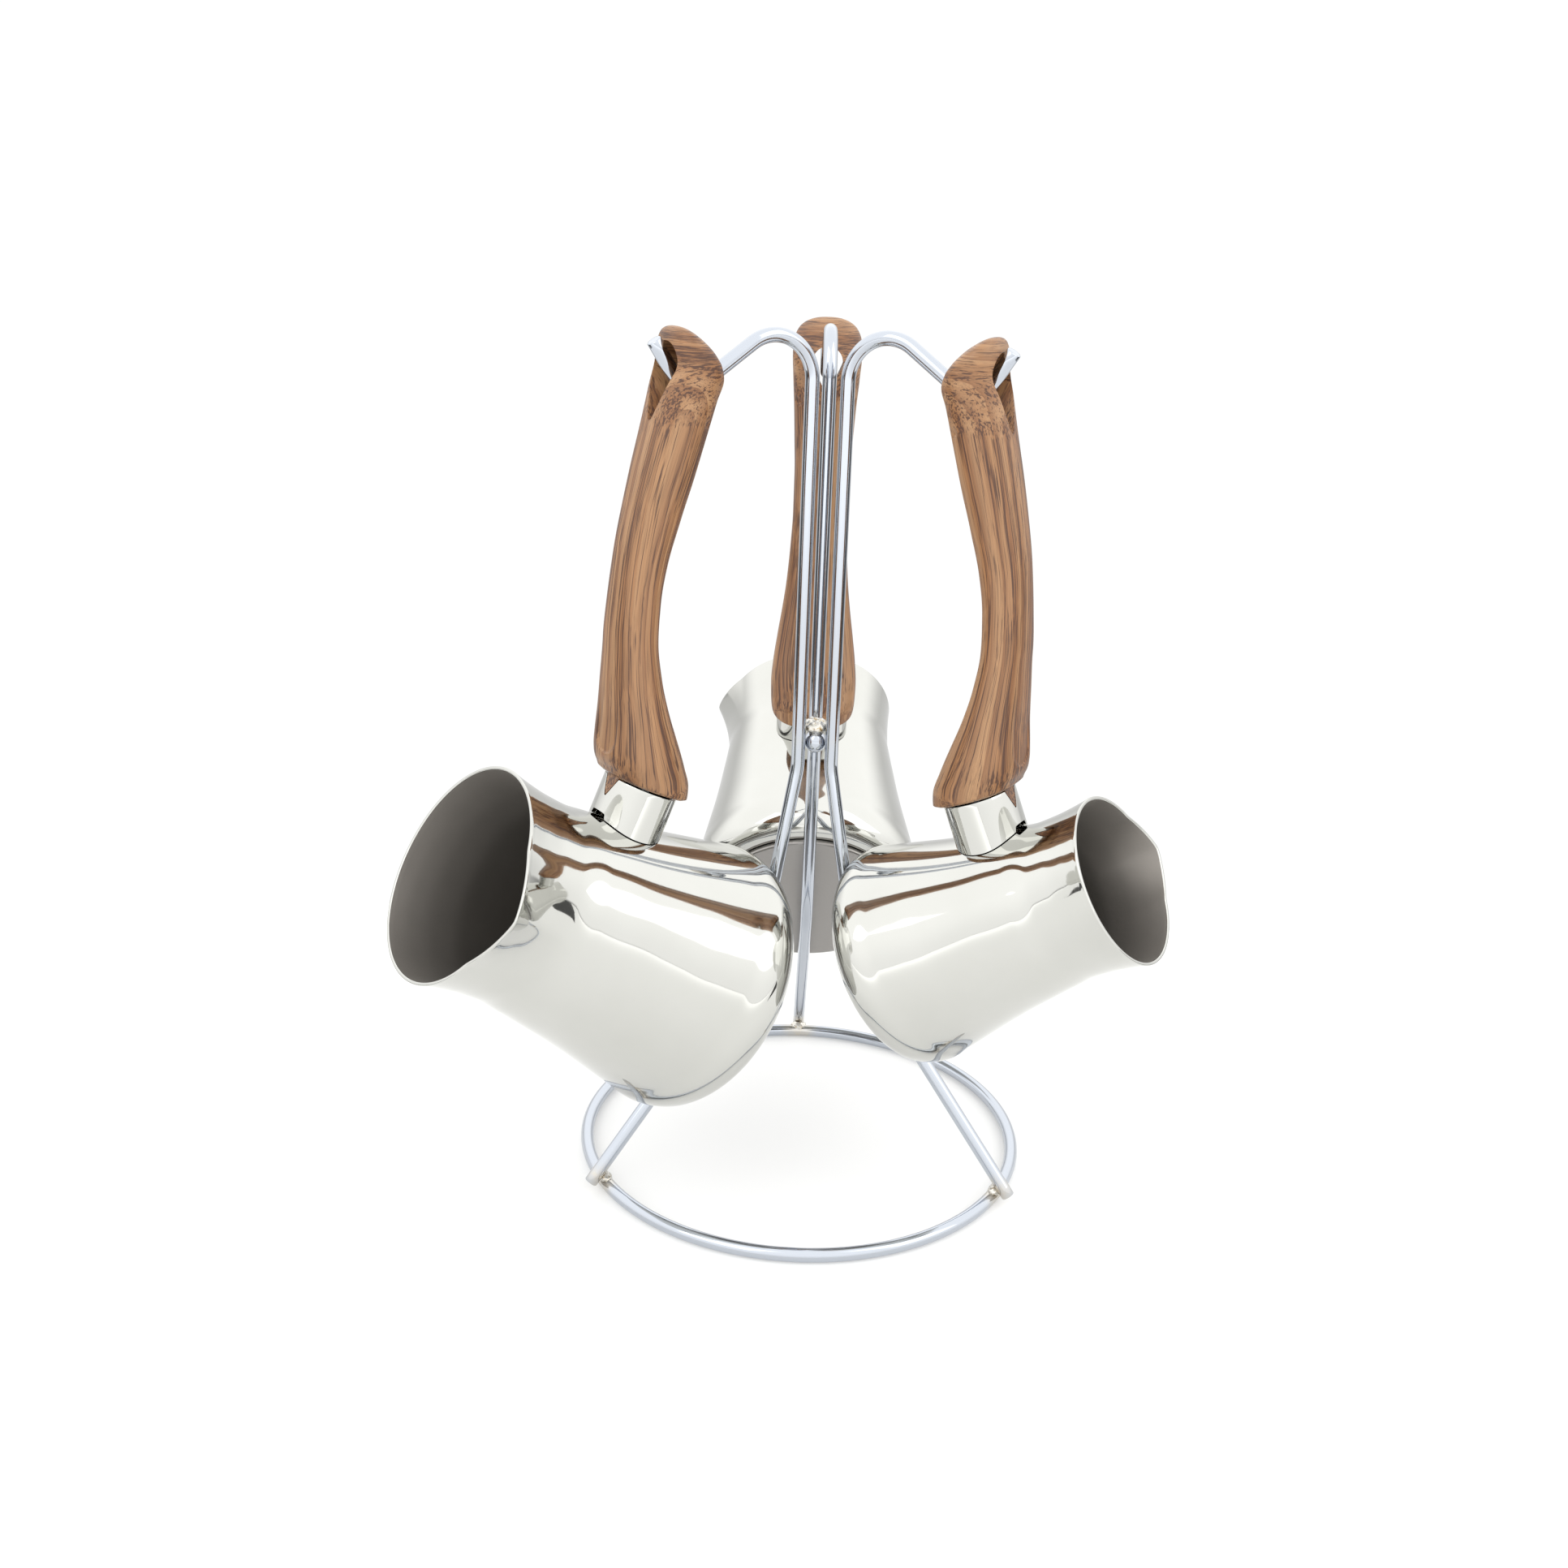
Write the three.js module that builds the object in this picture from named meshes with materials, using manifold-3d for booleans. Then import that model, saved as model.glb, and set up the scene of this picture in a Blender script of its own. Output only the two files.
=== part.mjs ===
// Counter stand of bent chromed wire with three long-handled coffee pots hung on its hooks.
// Millimetres, +Z up, the front of the stand faces -Y.
import * as THREE from "three";
import { mergeVertices } from "three/addons/utils/BufferGeometryUtils.js";
import Module from "manifold-3d";

const kernel = await Module();
kernel.setup();

// Stand
const wireRadius = 2.5;
const ringRadius = 84;
const ringSteps = 72;
const ringSides = 12;
const rodSides = 12;
const fitGap = 0.3;

// One bent rod, as distance from the stand's axis and height, with the bend radius at each corner.
const rodCorners = [
  { r: 90.1, z: 3.8, bend: 0 },
  { r: 20.5, z: 86.2, bend: 42 },
  { r: 7.0, z: 156, bend: 30 },
  { r: 7.0, z: 322.6, bend: 15 },
  { r: 54.7, z: 289.9, bend: 7 },
  { r: 66.5, z: 307.6, bend: 0 },
];
const bendStep = THREE.MathUtils.degToRad(11);

const waistHeight = 165;
const spacerRadius = 4.2;
const footWeldRadius = 4.3;
const waistWeldRadius = 3.9;

// Pots: base centre and tilt are measured in the upright plane of the pot's own hook.
const pots = [
  {
    side: "left",
    azimuth: 210,
    twist: 4,
    lean: 1,
    base: { r: 40.35, z: 75.1 },
    tilt: 32.7,
    length: 118,
    widest: 50,
    neck: 35.9,
    mouth: 38.4,
  },
  {
    side: "right",
    azimuth: 330,
    twist: 0,
    lean: -1,
    base: { r: 34.95, z: 86.0 },
    tilt: 31.6,
    length: 100.5,
    widest: 41,
    neck: 28.1,
    mouth: 29.9,
  },
  {
    side: "rear",
    azimuth: 90,
    twist: 0,
    lean: 0,
    base: { r: 34.9, z: 86.4 },
    tilt: 29.5,
    length: 107,
    widest: 45.5,
    neck: 33,
    mouth: 35,
  },
];
const potWall = 1.2;
const potSides = 48;
const baseDisc = { thickness: 2.4, radiusShare: 0.8 };
const spout = { reach: 6.5, rise: 2.2, halfAngle: 24, startShare: 0.78 };

// The handle hangs from this point of its hook; handle shapes are offsets from it.
const hang = { r: 52, z: 296 };
const handleSides = 28;
// Sections from the flared foot to the domed top: centre, half thickness, half width, slope.
const handleSections = [
  { x: 16.1, z: -137.4, half: 13.6, wide: 15.2, slope: 24 },
  { x: 16.0, z: -136.4, half: 15.3, wide: 16.5, slope: 24 },
  { x: 16.3, z: -132.6, half: 15.6, wide: 17.0, slope: 20 },
  { x: 17.5, z: -127, half: 14.2, wide: 17.2, slope: 13 },
  { x: 18.9, z: -119, half: 12.0, wide: 16.6, slope: 5 },
  { x: 20.2, z: -109, half: 9.7, wide: 15.3, slope: 1 },
  { x: 21.2, z: -98, half: 8.2, wide: 13.7, slope: 0 },
  { x: 21.6, z: -86, half: 7.3, wide: 12.3, slope: 2 },
  { x: 20.6, z: -72, half: 7.3, wide: 11.3, slope: 8 },
  { x: 18.4, z: -58, half: 7.9, wide: 10.7, slope: 13 },
  { x: 14.6, z: -43, half: 8.9, wide: 10.7, slope: 15 },
  { x: 10.6, z: -29, half: 9.6, wide: 11.2, slope: 16 },
  { x: 6.9, z: -16, half: 9.8, wide: 11.8, slope: 15 },
  { x: 3.9, z: -5, half: 10.0, wide: 12.5, slope: 16 },
  { x: 1.7, z: 3, half: 10.3, wide: 12.9, slope: 21 },
  { x: 1.8, z: 7.2, half: 9.9, wide: 12.6, slope: 27 },
  { x: 2.3, z: 10.2, half: 8.6, wide: 11.4, slope: 31 },
  { x: 2.8, z: 12.4, half: 6.4, wide: 8.6, slope: 33 },
  { x: 3.2, z: 13.6, half: 3.6, wide: 5.0, slope: 33 },
];
const handleSquareness = 2.5;

// Hanging slot through the handle, from the small inner mouth to the wide outer one.
const slotSections = [
  { x: -16, top: 6.1, bottom: -9.5, half: 5.6 },
  { x: -4, top: 6.1, bottom: -9.5, half: 5.6 },
  { x: 11, top: 11.5, bottom: -12.5, half: 7.4 },
  { x: 21, top: 13.6, bottom: -14.5, half: 8.2 },
];

// Oval metal sleeve between handle and pot, and the steel tongue inside it.
const sleeve = { half: 12.2, wide: 14.5, wall: 1.2, slope: 24, notchHalf: 4.2, notchDeep: 7 };
const sleeveTop = { x: 16.6, z: -138.0 };
const drainSlot = { length: 9, height: 1.7 };
const tongue = { x: 18, thick: 3, wide: 12, top: -121, bottom: -165 };

const chrome = { color: 0xd9dcdf, roughness: 0.12, metalness: 1 };
const polishedSteel = { color: 0xe2e2e0, roughness: 0.08, metalness: 1 };
const satinSteel = { color: 0xb9b8b4, roughness: 0.38, metalness: 1 };
const woodPrint = { color: 0x9c6c48, roughness: 0.42, metalness: 0 };
const weldSteel = { color: 0x9a8466, roughness: 0.35, metalness: 0.9 };
const zincSteel = { color: 0xa8aaad, roughness: 0.4, metalness: 1 };

const radians = THREE.MathUtils.degToRad;

function solidFrom(geometry) {
  const bare = geometry.clone();
  bare.deleteAttribute("normal");
  bare.deleteAttribute("uv");
  const merged = mergeVertices(bare, 1e-4);
  return new kernel.Manifold(
    new kernel.Mesh({
      numProp: 3,
      vertProperties: new Float32Array(merged.attributes.position.array),
      triVerts: new Uint32Array(merged.index.array),
    }),
  );
}

function geometryFrom(solid) {
  const mesh = solid.getMesh();
  const geometry = new THREE.BufferGeometry();
  geometry.setAttribute("position", new THREE.BufferAttribute(mesh.vertProperties.slice(), 3));
  geometry.setIndex(new THREE.BufferAttribute(mesh.triVerts.slice(), 1));
  geometry.computeVertexNormals();
  return geometry;
}

function part(name, geometry, finish) {
  const mesh = new THREE.Mesh(geometry, new THREE.MeshStandardMaterial(finish));
  mesh.name = name;
  return mesh;
}

// Closed skin over a row of rings that all have the same number of points.
function loft(rings) {
  const sides = rings[0].length;
  const positions = [];
  const index = [];
  rings.flat().forEach((point) => positions.push(point.x, point.y, point.z));
  for (let row = 0; row + 1 < rings.length; row += 1) {
    for (let side = 0; side < sides; side += 1) {
      const next = (side + 1) % sides;
      const a = row * sides + side;
      const b = row * sides + next;
      index.push(a, b, b + sides, a, b + sides, a + sides);
    }
  }
  [0, rings.length - 1].forEach((row) => {
    const centre = new THREE.Vector3();
    rings[row].forEach((point) => centre.addScaledVector(point, 1 / sides));
    const hub = positions.length / 3;
    positions.push(centre.x, centre.y, centre.z);
    for (let side = 0; side < sides; side += 1) {
      const a = row * sides + side;
      const b = row * sides + ((side + 1) % sides);
      index.push(...(row === 0 ? [hub, b, a] : [hub, a, b]));
    }
  });
  const geometry = new THREE.BufferGeometry();
  geometry.setAttribute("position", new THREE.Float32BufferAttribute(positions, 3));
  geometry.setIndex(index);
  geometry.computeVertexNormals();
  return geometry;
}

// A wire's centre line, sampled at both ends of every straight and closely round each bend.
class BentWire extends THREE.Curve {
  constructor(corners) {
    super();
    this.samples = [];
    corners.forEach((corner, i) => {
      const here = new THREE.Vector3(corner.r, 0, corner.z);
      if (!corner.bend) {
        this.samples.push(here);
        return;
      }
      const before = corners[i - 1];
      const after = corners[i + 1];
      const inward = new THREE.Vector3(before.r, 0, before.z).sub(here).normalize();
      const onward = new THREE.Vector3(after.r, 0, after.z).sub(here).normalize();
      const halfCorner = inward.angleTo(onward) / 2;
      const middle = inward.clone().add(onward).normalize();
      const centre = here.clone().addScaledVector(middle, corner.bend / Math.sin(halfCorner));
      const start = here.clone().addScaledVector(inward, corner.bend / Math.tan(halfCorner));
      const arm = start.sub(centre);
      const sweep = Math.PI - 2 * halfCorner;
      const turn = new THREE.Vector3().crossVectors(onward, inward).y > 0 ? 1 : -1;
      const steps = Math.max(2, Math.ceil(sweep / bendStep));
      for (let step = 0; step <= steps; step += 1) {
        const angle = (turn * sweep * step) / steps;
        const spoke = arm.clone().applyAxisAngle(new THREE.Vector3(0, 1, 0), angle);
        this.samples.push(spoke.add(centre));
      }
    });
  }

  getPoint(t, target = new THREE.Vector3()) {
    const last = this.samples.length - 1;
    const place = THREE.MathUtils.clamp(t, 0, 1) * last;
    const i = Math.min(Math.floor(place), last - 1);
    return target.lerpVectors(this.samples[i], this.samples[i + 1], place - i);
  }

  getPointAt(u, target) {
    return this.getPoint(u, target);
  }

  getTangentAt(u, target = new THREE.Vector3()) {
    const last = this.samples.length - 1;
    const i = Math.round(u * last);
    const here = this.samples[i];
    target.set(0, 0, 0);
    if (i > 0) target.add(here.clone().sub(this.samples[i - 1]).normalize());
    if (i < last) target.add(this.samples[i + 1].clone().sub(here).normalize());
    return target.normalize();
  }
}

function rodGeometry(radius) {
  const path = new BentWire(rodCorners);
  const round = new THREE.Shape();
  for (let side = 0; side < rodSides; side += 1) {
    const angle = (2 * Math.PI * side) / rodSides;
    const x = radius * Math.cos(angle);
    const y = radius * Math.sin(angle);
    if (side === 0) round.moveTo(x, y);
    else round.lineTo(x, y);
  }
  round.closePath();
  return new THREE.ExtrudeGeometry(round, {
    steps: path.samples.length - 1,
    extrudePath: path,
    curveSegments: 1,
  });
}

// The ring's section has a narrow flat underneath, on which the whole stand rests.
function ringGeometry(radius, lift) {
  const section = [];
  const corner = radius / Math.cos(Math.PI / ringSides);
  for (let side = 0; side <= ringSides; side += 1) {
    const angle = -Math.PI / 2 + (2 * Math.PI * (side % ringSides) + Math.PI) / ringSides;
    section.push(
      new THREE.Vector2(ringRadius + corner * Math.cos(angle), lift + corner * Math.sin(angle)),
    );
  }
  return new THREE.LatheGeometry(section, ringSteps).rotateX(Math.PI / 2);
}

function turnTo(azimuth) {
  return new THREE.Matrix4().makeRotationZ(radians(azimuth));
}

// Bead in the crotch where a foot crosses the ring, cut back from both wires.
function footWeldGeometry() {
  const bead = new THREE.IcosahedronGeometry(footWeldRadius, 2);
  bead.scale(0.92, 1.15, 0.92);
  bead.translate(85.9, 0, 4.5);
  return geometryFrom(
    solidFrom(bead)
      .subtract(solidFrom(rodGeometry(wireRadius + fitGap / 2)))
      .subtract(solidFrom(ringGeometry(wireRadius + fitGap / 2, wireRadius))),
  );
}

// Radius of a pot at a height above its base, following the tapered body and flared mouth.
function potRadius(pot, height) {
  const share = height / pot.length;
  const knots = [
    [0, pot.widest * baseDisc.radiusShare],
    [0.022, pot.widest * (baseDisc.radiusShare + 0.012)],
    [0.034, pot.widest * 0.905],
    [0.055, pot.widest * 0.958],
    [0.082, pot.widest * 0.988],
    [0.118, pot.widest],
    [0.2, pot.neck + 0.86 * (pot.widest - pot.neck)],
    [0.3, pot.neck + 0.68 * (pot.widest - pot.neck)],
    [0.4, pot.neck + 0.5 * (pot.widest - pot.neck)],
    [0.5, pot.neck + 0.345 * (pot.widest - pot.neck)],
    [0.6, pot.neck + 0.215 * (pot.widest - pot.neck)],
    [0.7, pot.neck + 0.09 * (pot.widest - pot.neck)],
    [0.79, pot.neck],
    [0.86, pot.neck + 0.1 * (pot.mouth - pot.neck)],
    [0.93, pot.neck + 0.45 * (pot.mouth - pot.neck)],
    [1, pot.mouth],
  ];
  const i = Math.min(
    knots.length - 2,
    knots.findIndex((knot, n) => n + 1 === knots.length || knots[n + 1][0] >= share - 1e-9),
  );
  const [fromShare, fromRadius] = knots[i];
  const [toShare, toRadius] = knots[i + 1];
  return THREE.MathUtils.mapLinear(share, fromShare, toShare, fromRadius, toRadius);
}

const profileShares = [
  0.034, 0.055, 0.082, 0.118, 0.2, 0.3, 0.4, 0.5, 0.6, 0.7, 0.79, 0.86, 0.93, 1,
];

// Pushes the wall out and up into a pouring lip on the pot's +Y side.
function pullSpout(geometry, pot) {
  const spots = geometry.attributes.position;
  for (let i = 0; i < spots.count; i += 1) {
    const x = spots.getX(i);
    const y = spots.getY(i);
    const z = spots.getZ(i);
    const off = Math.abs(Math.atan2(x, y)) / radians(spout.halfAngle);
    const up = (z / pot.length - spout.startShare) / (1 - spout.startShare);
    if (off >= 1 || up <= 0 || Math.hypot(x, y) < 1) continue;
    const round = (1 - off * off) ** 1.5;
    const pull = spout.reach * round * up ** 1.6;
    const out = Math.hypot(x, y);
    spots.setXYZ(i, x + (x / out) * pull, y + (y / out) * pull, z + spout.rise * round * up ** 3);
  }
  return geometry;
}

// Lathe about the pot's axis, which runs along +Z from the base.
function turned(profile, sides) {
  return new THREE.LatheGeometry(profile, sides).rotateX(Math.PI / 2);
}

function potBodyGeometry(pot) {
  const floor = baseDisc.thickness + fitGap;
  const rimShare = 0.022;
  const outer = [new THREE.Vector2(0, floor)];
  outer.push(new THREE.Vector2(potRadius(pot, rimShare * pot.length), floor));
  profileShares.forEach((share) => {
    outer.push(new THREE.Vector2(potRadius(pot, share * pot.length), share * pot.length));
  });
  const inner = [];
  profileShares.forEach((share) => {
    const height = Math.max(share * pot.length, floor + potWall);
    inner.push(new THREE.Vector2(potRadius(pot, share * pot.length) - potWall, height));
  });
  inner[0].x = potRadius(pot, 0.022 * pot.length) - 0.4;
  inner[0].y = floor + potWall;
  inner.reverse();
  inner.push(new THREE.Vector2(0, floor + potWall));
  return pullSpout(turned([...outer, ...inner], potSides), pot);
}

// Solid block of the pot's outside, grown by a gap, for cutting what stands on the pot.
function potEnvelope(pot, gap) {
  const profile = [new THREE.Vector2(0, -gap)];
  [0, 0.022, ...profileShares].forEach((share) => {
    const height = share * pot.length - (share === 0 ? gap : 0);
    profile.push(new THREE.Vector2(potRadius(pot, share * pot.length) + gap, height));
  });
  profile.push(new THREE.Vector2(0, pot.length));
  return turned(profile, potSides);
}

function baseDiscGeometry(pot) {
  const radius = pot.widest * baseDisc.radiusShare;
  const bevel = 0.7;
  return turned(
    [
      new THREE.Vector2(0, 0),
      new THREE.Vector2(radius - bevel, 0),
      new THREE.Vector2(radius, bevel),
      new THREE.Vector2(radius, baseDisc.thickness),
      new THREE.Vector2(0, baseDisc.thickness),
    ],
    potSides,
  );
}

// From the pot's own axis to the plane of its hook, with the hanging point as origin.
function potPlacement(pot) {
  const tip = new THREE.Matrix4().makeRotationY(radians(90 - pot.tilt));
  const move = new THREE.Matrix4().makeTranslation(pot.base.r - hang.r, 0, pot.base.z - hang.z);
  return move.multiply(tip);
}

// The handle leans a degree or so from pot to pot, turning about the hanging point.
function leanOf(pot) {
  return new THREE.Matrix4().makeRotationY(-radians(pot.lean));
}

function ovalRing(centre, half, wide, slope, squareness, sides) {
  const along = new THREE.Vector3(Math.cos(radians(slope)), 0, Math.sin(radians(slope)));
  const ring = [];
  for (let side = 0; side < sides; side += 1) {
    const angle = (2 * Math.PI * side) / sides;
    const c = Math.cos(angle);
    const s = Math.sin(angle);
    const x = half * Math.sign(c) * Math.abs(c) ** (2 / squareness);
    const y = wide * Math.sign(s) * Math.abs(s) ** (2 / squareness);
    ring.push(new THREE.Vector3(centre.x, y, centre.z).addScaledVector(along, x));
  }
  return ring;
}

// Teardrop outline in the YZ plane, round at the top and pointed at the bottom.
function teardropRing({ x, top, bottom, half }) {
  const ring = [];
  const arcSteps = 14;
  const start = radians(-18);
  for (let step = 0; step <= arcSteps; step += 1) {
    const angle = start + ((Math.PI - 2 * start) * step) / arcSteps;
    const z = top - half + half * Math.sin(angle);
    ring.push(new THREE.Vector3(x, half * Math.cos(angle), z));
  }
  ring.push(new THREE.Vector3(x, -0.8, bottom), new THREE.Vector3(x, 0.8, bottom));
  return ring;
}

function slotGeometry() {
  return loft(slotSections.map(teardropRing));
}

function tongueBlock(grow, bottom) {
  const height = tongue.top + grow - bottom;
  return new THREE.BoxGeometry(
    tongue.thick + 2 * grow,
    tongue.wide + 2 * grow,
    height,
  ).translate(tongue.x, 0, bottom + height / 2);
}

// Wedge in the sleeve's outer notch, or the pointed lip of the handle that fills it.
function notchWedge(half, deep, inner, outer, raise) {
  const slope = radians(sleeve.slope);
  const along = new THREE.Vector3(Math.cos(slope), 0, Math.sin(slope));
  const down = new THREE.Vector3(Math.sin(slope), 0, -Math.cos(slope));
  const corners = [
    [-half * 1.35, -raise],
    [-half, 0.1],
    [-1.1, deep],
    [1.1, deep],
    [half, 0.1],
    [half * 1.35, -raise],
  ];
  const face = (reach) =>
    corners.map(([y, drop]) =>
      new THREE.Vector3(sleeveTop.x, y, sleeveTop.z)
        .addScaledVector(along, reach)
        .addScaledVector(down, drop),
    );
  return loft([face(inner), face(outer)]);
}

function sleeveTube(half, wide, reach) {
  const slope = radians(sleeve.slope);
  const foot = {
    x: sleeveTop.x + reach * Math.sin(slope),
    z: sleeveTop.z - reach * Math.cos(slope),
  };
  return loft([
    ovalRing(foot, half, wide, sleeve.slope, 2.15, 32),
    ovalRing(sleeveTop, half, wide, sleeve.slope, 2.15, 32),
  ]);
}

function handleGeometry(pot) {
  const rings = handleSections.map((section) =>
    ovalRing(section, section.half, section.wide, section.slope, handleSquareness, handleSides),
  );
  const lip = notchWedge(sleeve.notchHalf - 0.4, sleeve.notchDeep - 0.6, 9.4, 12.3, 2.2);
  return geometryFrom(
    solidFrom(loft(rings))
      .add(solidFrom(lip))
      .subtract(solidFrom(slotGeometry()))
      .subtract(solidFrom(tongueBlock(fitGap, tongue.bottom))),
  ).applyMatrix4(leanOf(pot));
}

function sleeveGeometry(pot) {
  const slope = radians(sleeve.slope);
  const reach = 30;
  const drain = new THREE.BoxGeometry(8, drainSlot.length, drainSlot.height);
  const solid = solidFrom(sleeveTube(sleeve.half, sleeve.wide, reach))
    .subtract(
      solidFrom(
        loft([
          ovalRing(
            { x: sleeveTop.x + 40 * Math.sin(slope), z: sleeveTop.z - 40 * Math.cos(slope) },
            sleeve.half - sleeve.wall,
            sleeve.wide - sleeve.wall,
            sleeve.slope,
            2.15,
            32,
          ),
          ovalRing(
            { x: sleeveTop.x - 5 * Math.sin(slope), z: sleeveTop.z + 5 * Math.cos(slope) },
            sleeve.half - sleeve.wall,
            sleeve.wide - sleeve.wall,
            sleeve.slope,
            2.15,
            32,
          ),
        ]),
      ),
    )
    .subtract(solidFrom(notchWedge(sleeve.notchHalf, sleeve.notchDeep, 8, 16, 2)));
  const leaned = solidFrom(geometryFrom(solid).applyMatrix4(leanOf(pot)));
  const envelope = solidFrom(potEnvelope(pot, fitGap).applyMatrix4(potPlacement(pot)));
  const drainAt = drainPlace(pot);
  drain.applyMatrix4(drainAt);
  return geometryFrom(leaned.subtract(envelope).subtract(solidFrom(drain)));
}

// The drain slot sits where the sleeve's outer edge meets the pot's wall.
function drainPlace(pot) {
  const slope = radians(sleeve.slope);
  const edge = new THREE.Vector3(
    sleeveTop.x + sleeve.half * Math.cos(slope),
    0,
    sleeveTop.z + sleeve.half * Math.sin(slope),
  ).applyMatrix4(leanOf(pot));
  const down = new THREE.Vector3(Math.sin(slope), 0, -Math.cos(slope));
  const toPot = potPlacement(pot).invert();
  let reach = 0;
  let inPot = edge.clone().applyMatrix4(toPot);
  while (reach < 40 && -inPot.x > potRadius(pot, Math.min(inPot.z, pot.length)) + 0.6) {
    reach += 0.25;
    inPot = edge.clone().addScaledVector(down, reach).applyMatrix4(toPot);
  }
  return potPlacement(pot)
    .multiply(new THREE.Matrix4().makeTranslation(inPot.x, 0, inPot.z))
    .multiply(new THREE.Matrix4().makeRotationY(radians(90)));
}

function tongueGeometry(pot) {
  const leaned = tongueBlock(0, tongue.bottom).applyMatrix4(leanOf(pot));
  const envelope = potEnvelope(pot, fitGap).applyMatrix4(potPlacement(pot));
  return geometryFrom(solidFrom(leaned).subtract(solidFrom(envelope)));
}

function buildStand() {
  const stand = new THREE.Group();
  stand.add(part("base_ring", ringGeometry(wireRadius, wireRadius), chrome));
  const rod = rodGeometry(wireRadius);
  const bead = footWeldGeometry();
  pots.forEach(({ side, azimuth }) => {
    stand.add(part(`rod_${side}`, rod.clone().applyMatrix4(turnTo(azimuth)), chrome));
    stand.add(part(`foot_weld_${side}`, bead.clone().applyMatrix4(turnTo(azimuth)), weldSteel));
  });
  const ball = new THREE.SphereGeometry(spacerRadius, 20, 12).rotateX(Math.PI / 2);
  stand.add(part("waist_ball", ball.translate(0, 0, waistHeight), chrome));
  const cap = new THREE.SphereGeometry(waistWeldRadius, 16, 10).rotateX(Math.PI / 2);
  cap.translate(0, 0, waistHeight + 5.4);
  const clearBall = new THREE.SphereGeometry(spacerRadius + fitGap, 20, 12).rotateX(Math.PI / 2);
  clearBall.translate(0, 0, waistHeight);
  const weld = solidFrom(cap).subtract(solidFrom(clearBall));
  stand.add(part("waist_weld", geometryFrom(weld), weldSteel));
  return stand;
}

function buildPot(pot) {
  const hung = new THREE.Group();
  const place = potPlacement(pot);
  hung.add(
    part(`pot_${pot.side}`, potBodyGeometry(pot).applyMatrix4(place), polishedSteel),
    part(`base_disc_${pot.side}`, baseDiscGeometry(pot).applyMatrix4(place), satinSteel),
    part(`sleeve_${pot.side}`, sleeveGeometry(pot), polishedSteel),
    part(`tongue_${pot.side}`, tongueGeometry(pot), zincSteel),
    part(`handle_${pot.side}`, handleGeometry(pot), woodPrint),
  );
  const a = radians(pot.azimuth);
  hung.position.set(hang.r * Math.cos(a), hang.r * Math.sin(a), hang.z);
  hung.rotation.z = radians(pot.azimuth + pot.twist);
  return hung;
}

const set = new THREE.Group();
set.add(buildStand());
pots.forEach((pot) => set.add(buildPot(pot)));

// The origin is at floor level under the middle of the whole outline.
const outline = new THREE.Box3().setFromObject(set, true);
const middle = outline.getCenter(new THREE.Vector3());
set.position.set(-middle.x, -middle.y, -outline.min.z);

const hangingStand = new THREE.Group();
hangingStand.add(set);

export default hangingStand;
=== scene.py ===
import math

import bpy
import numpy as np
from mathutils import Matrix, Vector, noise


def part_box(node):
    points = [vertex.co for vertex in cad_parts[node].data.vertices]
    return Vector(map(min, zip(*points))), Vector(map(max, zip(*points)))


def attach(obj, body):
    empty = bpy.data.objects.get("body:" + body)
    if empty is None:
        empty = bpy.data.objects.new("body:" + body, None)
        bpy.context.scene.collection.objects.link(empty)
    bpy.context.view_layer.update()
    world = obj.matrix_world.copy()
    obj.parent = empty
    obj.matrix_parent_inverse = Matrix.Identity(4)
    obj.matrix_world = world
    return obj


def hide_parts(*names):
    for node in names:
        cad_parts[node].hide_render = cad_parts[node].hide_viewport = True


print("mug tree: loading the packed frame")
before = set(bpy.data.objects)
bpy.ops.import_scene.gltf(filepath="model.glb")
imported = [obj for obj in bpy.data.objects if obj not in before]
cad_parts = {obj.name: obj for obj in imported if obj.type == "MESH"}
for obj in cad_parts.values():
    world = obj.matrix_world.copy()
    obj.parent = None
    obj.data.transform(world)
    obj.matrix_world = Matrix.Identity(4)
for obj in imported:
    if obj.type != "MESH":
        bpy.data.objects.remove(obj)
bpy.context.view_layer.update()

mm = 0.001  # every size below is in millimetres
lowBall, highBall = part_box("waist_ball")
standAxis = (lowBall + highBall) / 2  # the three rods stand round this line
pi = math.pi


def toLinear(hexColour):
    channels = [int(hexColour[i:i + 2], 16) / 255 for i in (1, 3, 5)]
    linear = [c / 12.92 if c <= 0.04045 else ((c + 0.055) / 1.055) ** 2.4 for c in channels]
    return (*linear, 1.0)


def feed(tree, node, inputs):
    # a socket is linked, anything else is set as a value
    for name, value in inputs.items():
        if isinstance(value, bpy.types.NodeSocket):
            tree.links.new(value, node.inputs[name])
        else:
            node.inputs[name].default_value = value


def addNode(tree, kind, settings=None, inputs=None, stops=None):
    node = tree.nodes.new(kind)
    for name, value in (settings or {}).items():
        setattr(node, name, value)
    feed(tree, node, inputs or {})
    for index, (position, colour) in enumerate(stops or []):
        elements = node.color_ramp.elements
        element = elements[index] if index < len(elements) else elements.new(position)
        element.position = position
        element.color = toLinear(colour)
    return node


def newMaterial(name):
    material = bpy.data.materials.new(name)
    material.use_nodes = True
    tree = material.node_tree
    return material, tree, tree.nodes["Principled BSDF"]


def newMetal(name):
    material, tree, _ = newMaterial(name)
    where = addNode(tree, "ShaderNodeAttribute", {"attribute_name": "ownPlace"}).outputs["Vector"]
    return material, tree, where


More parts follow.
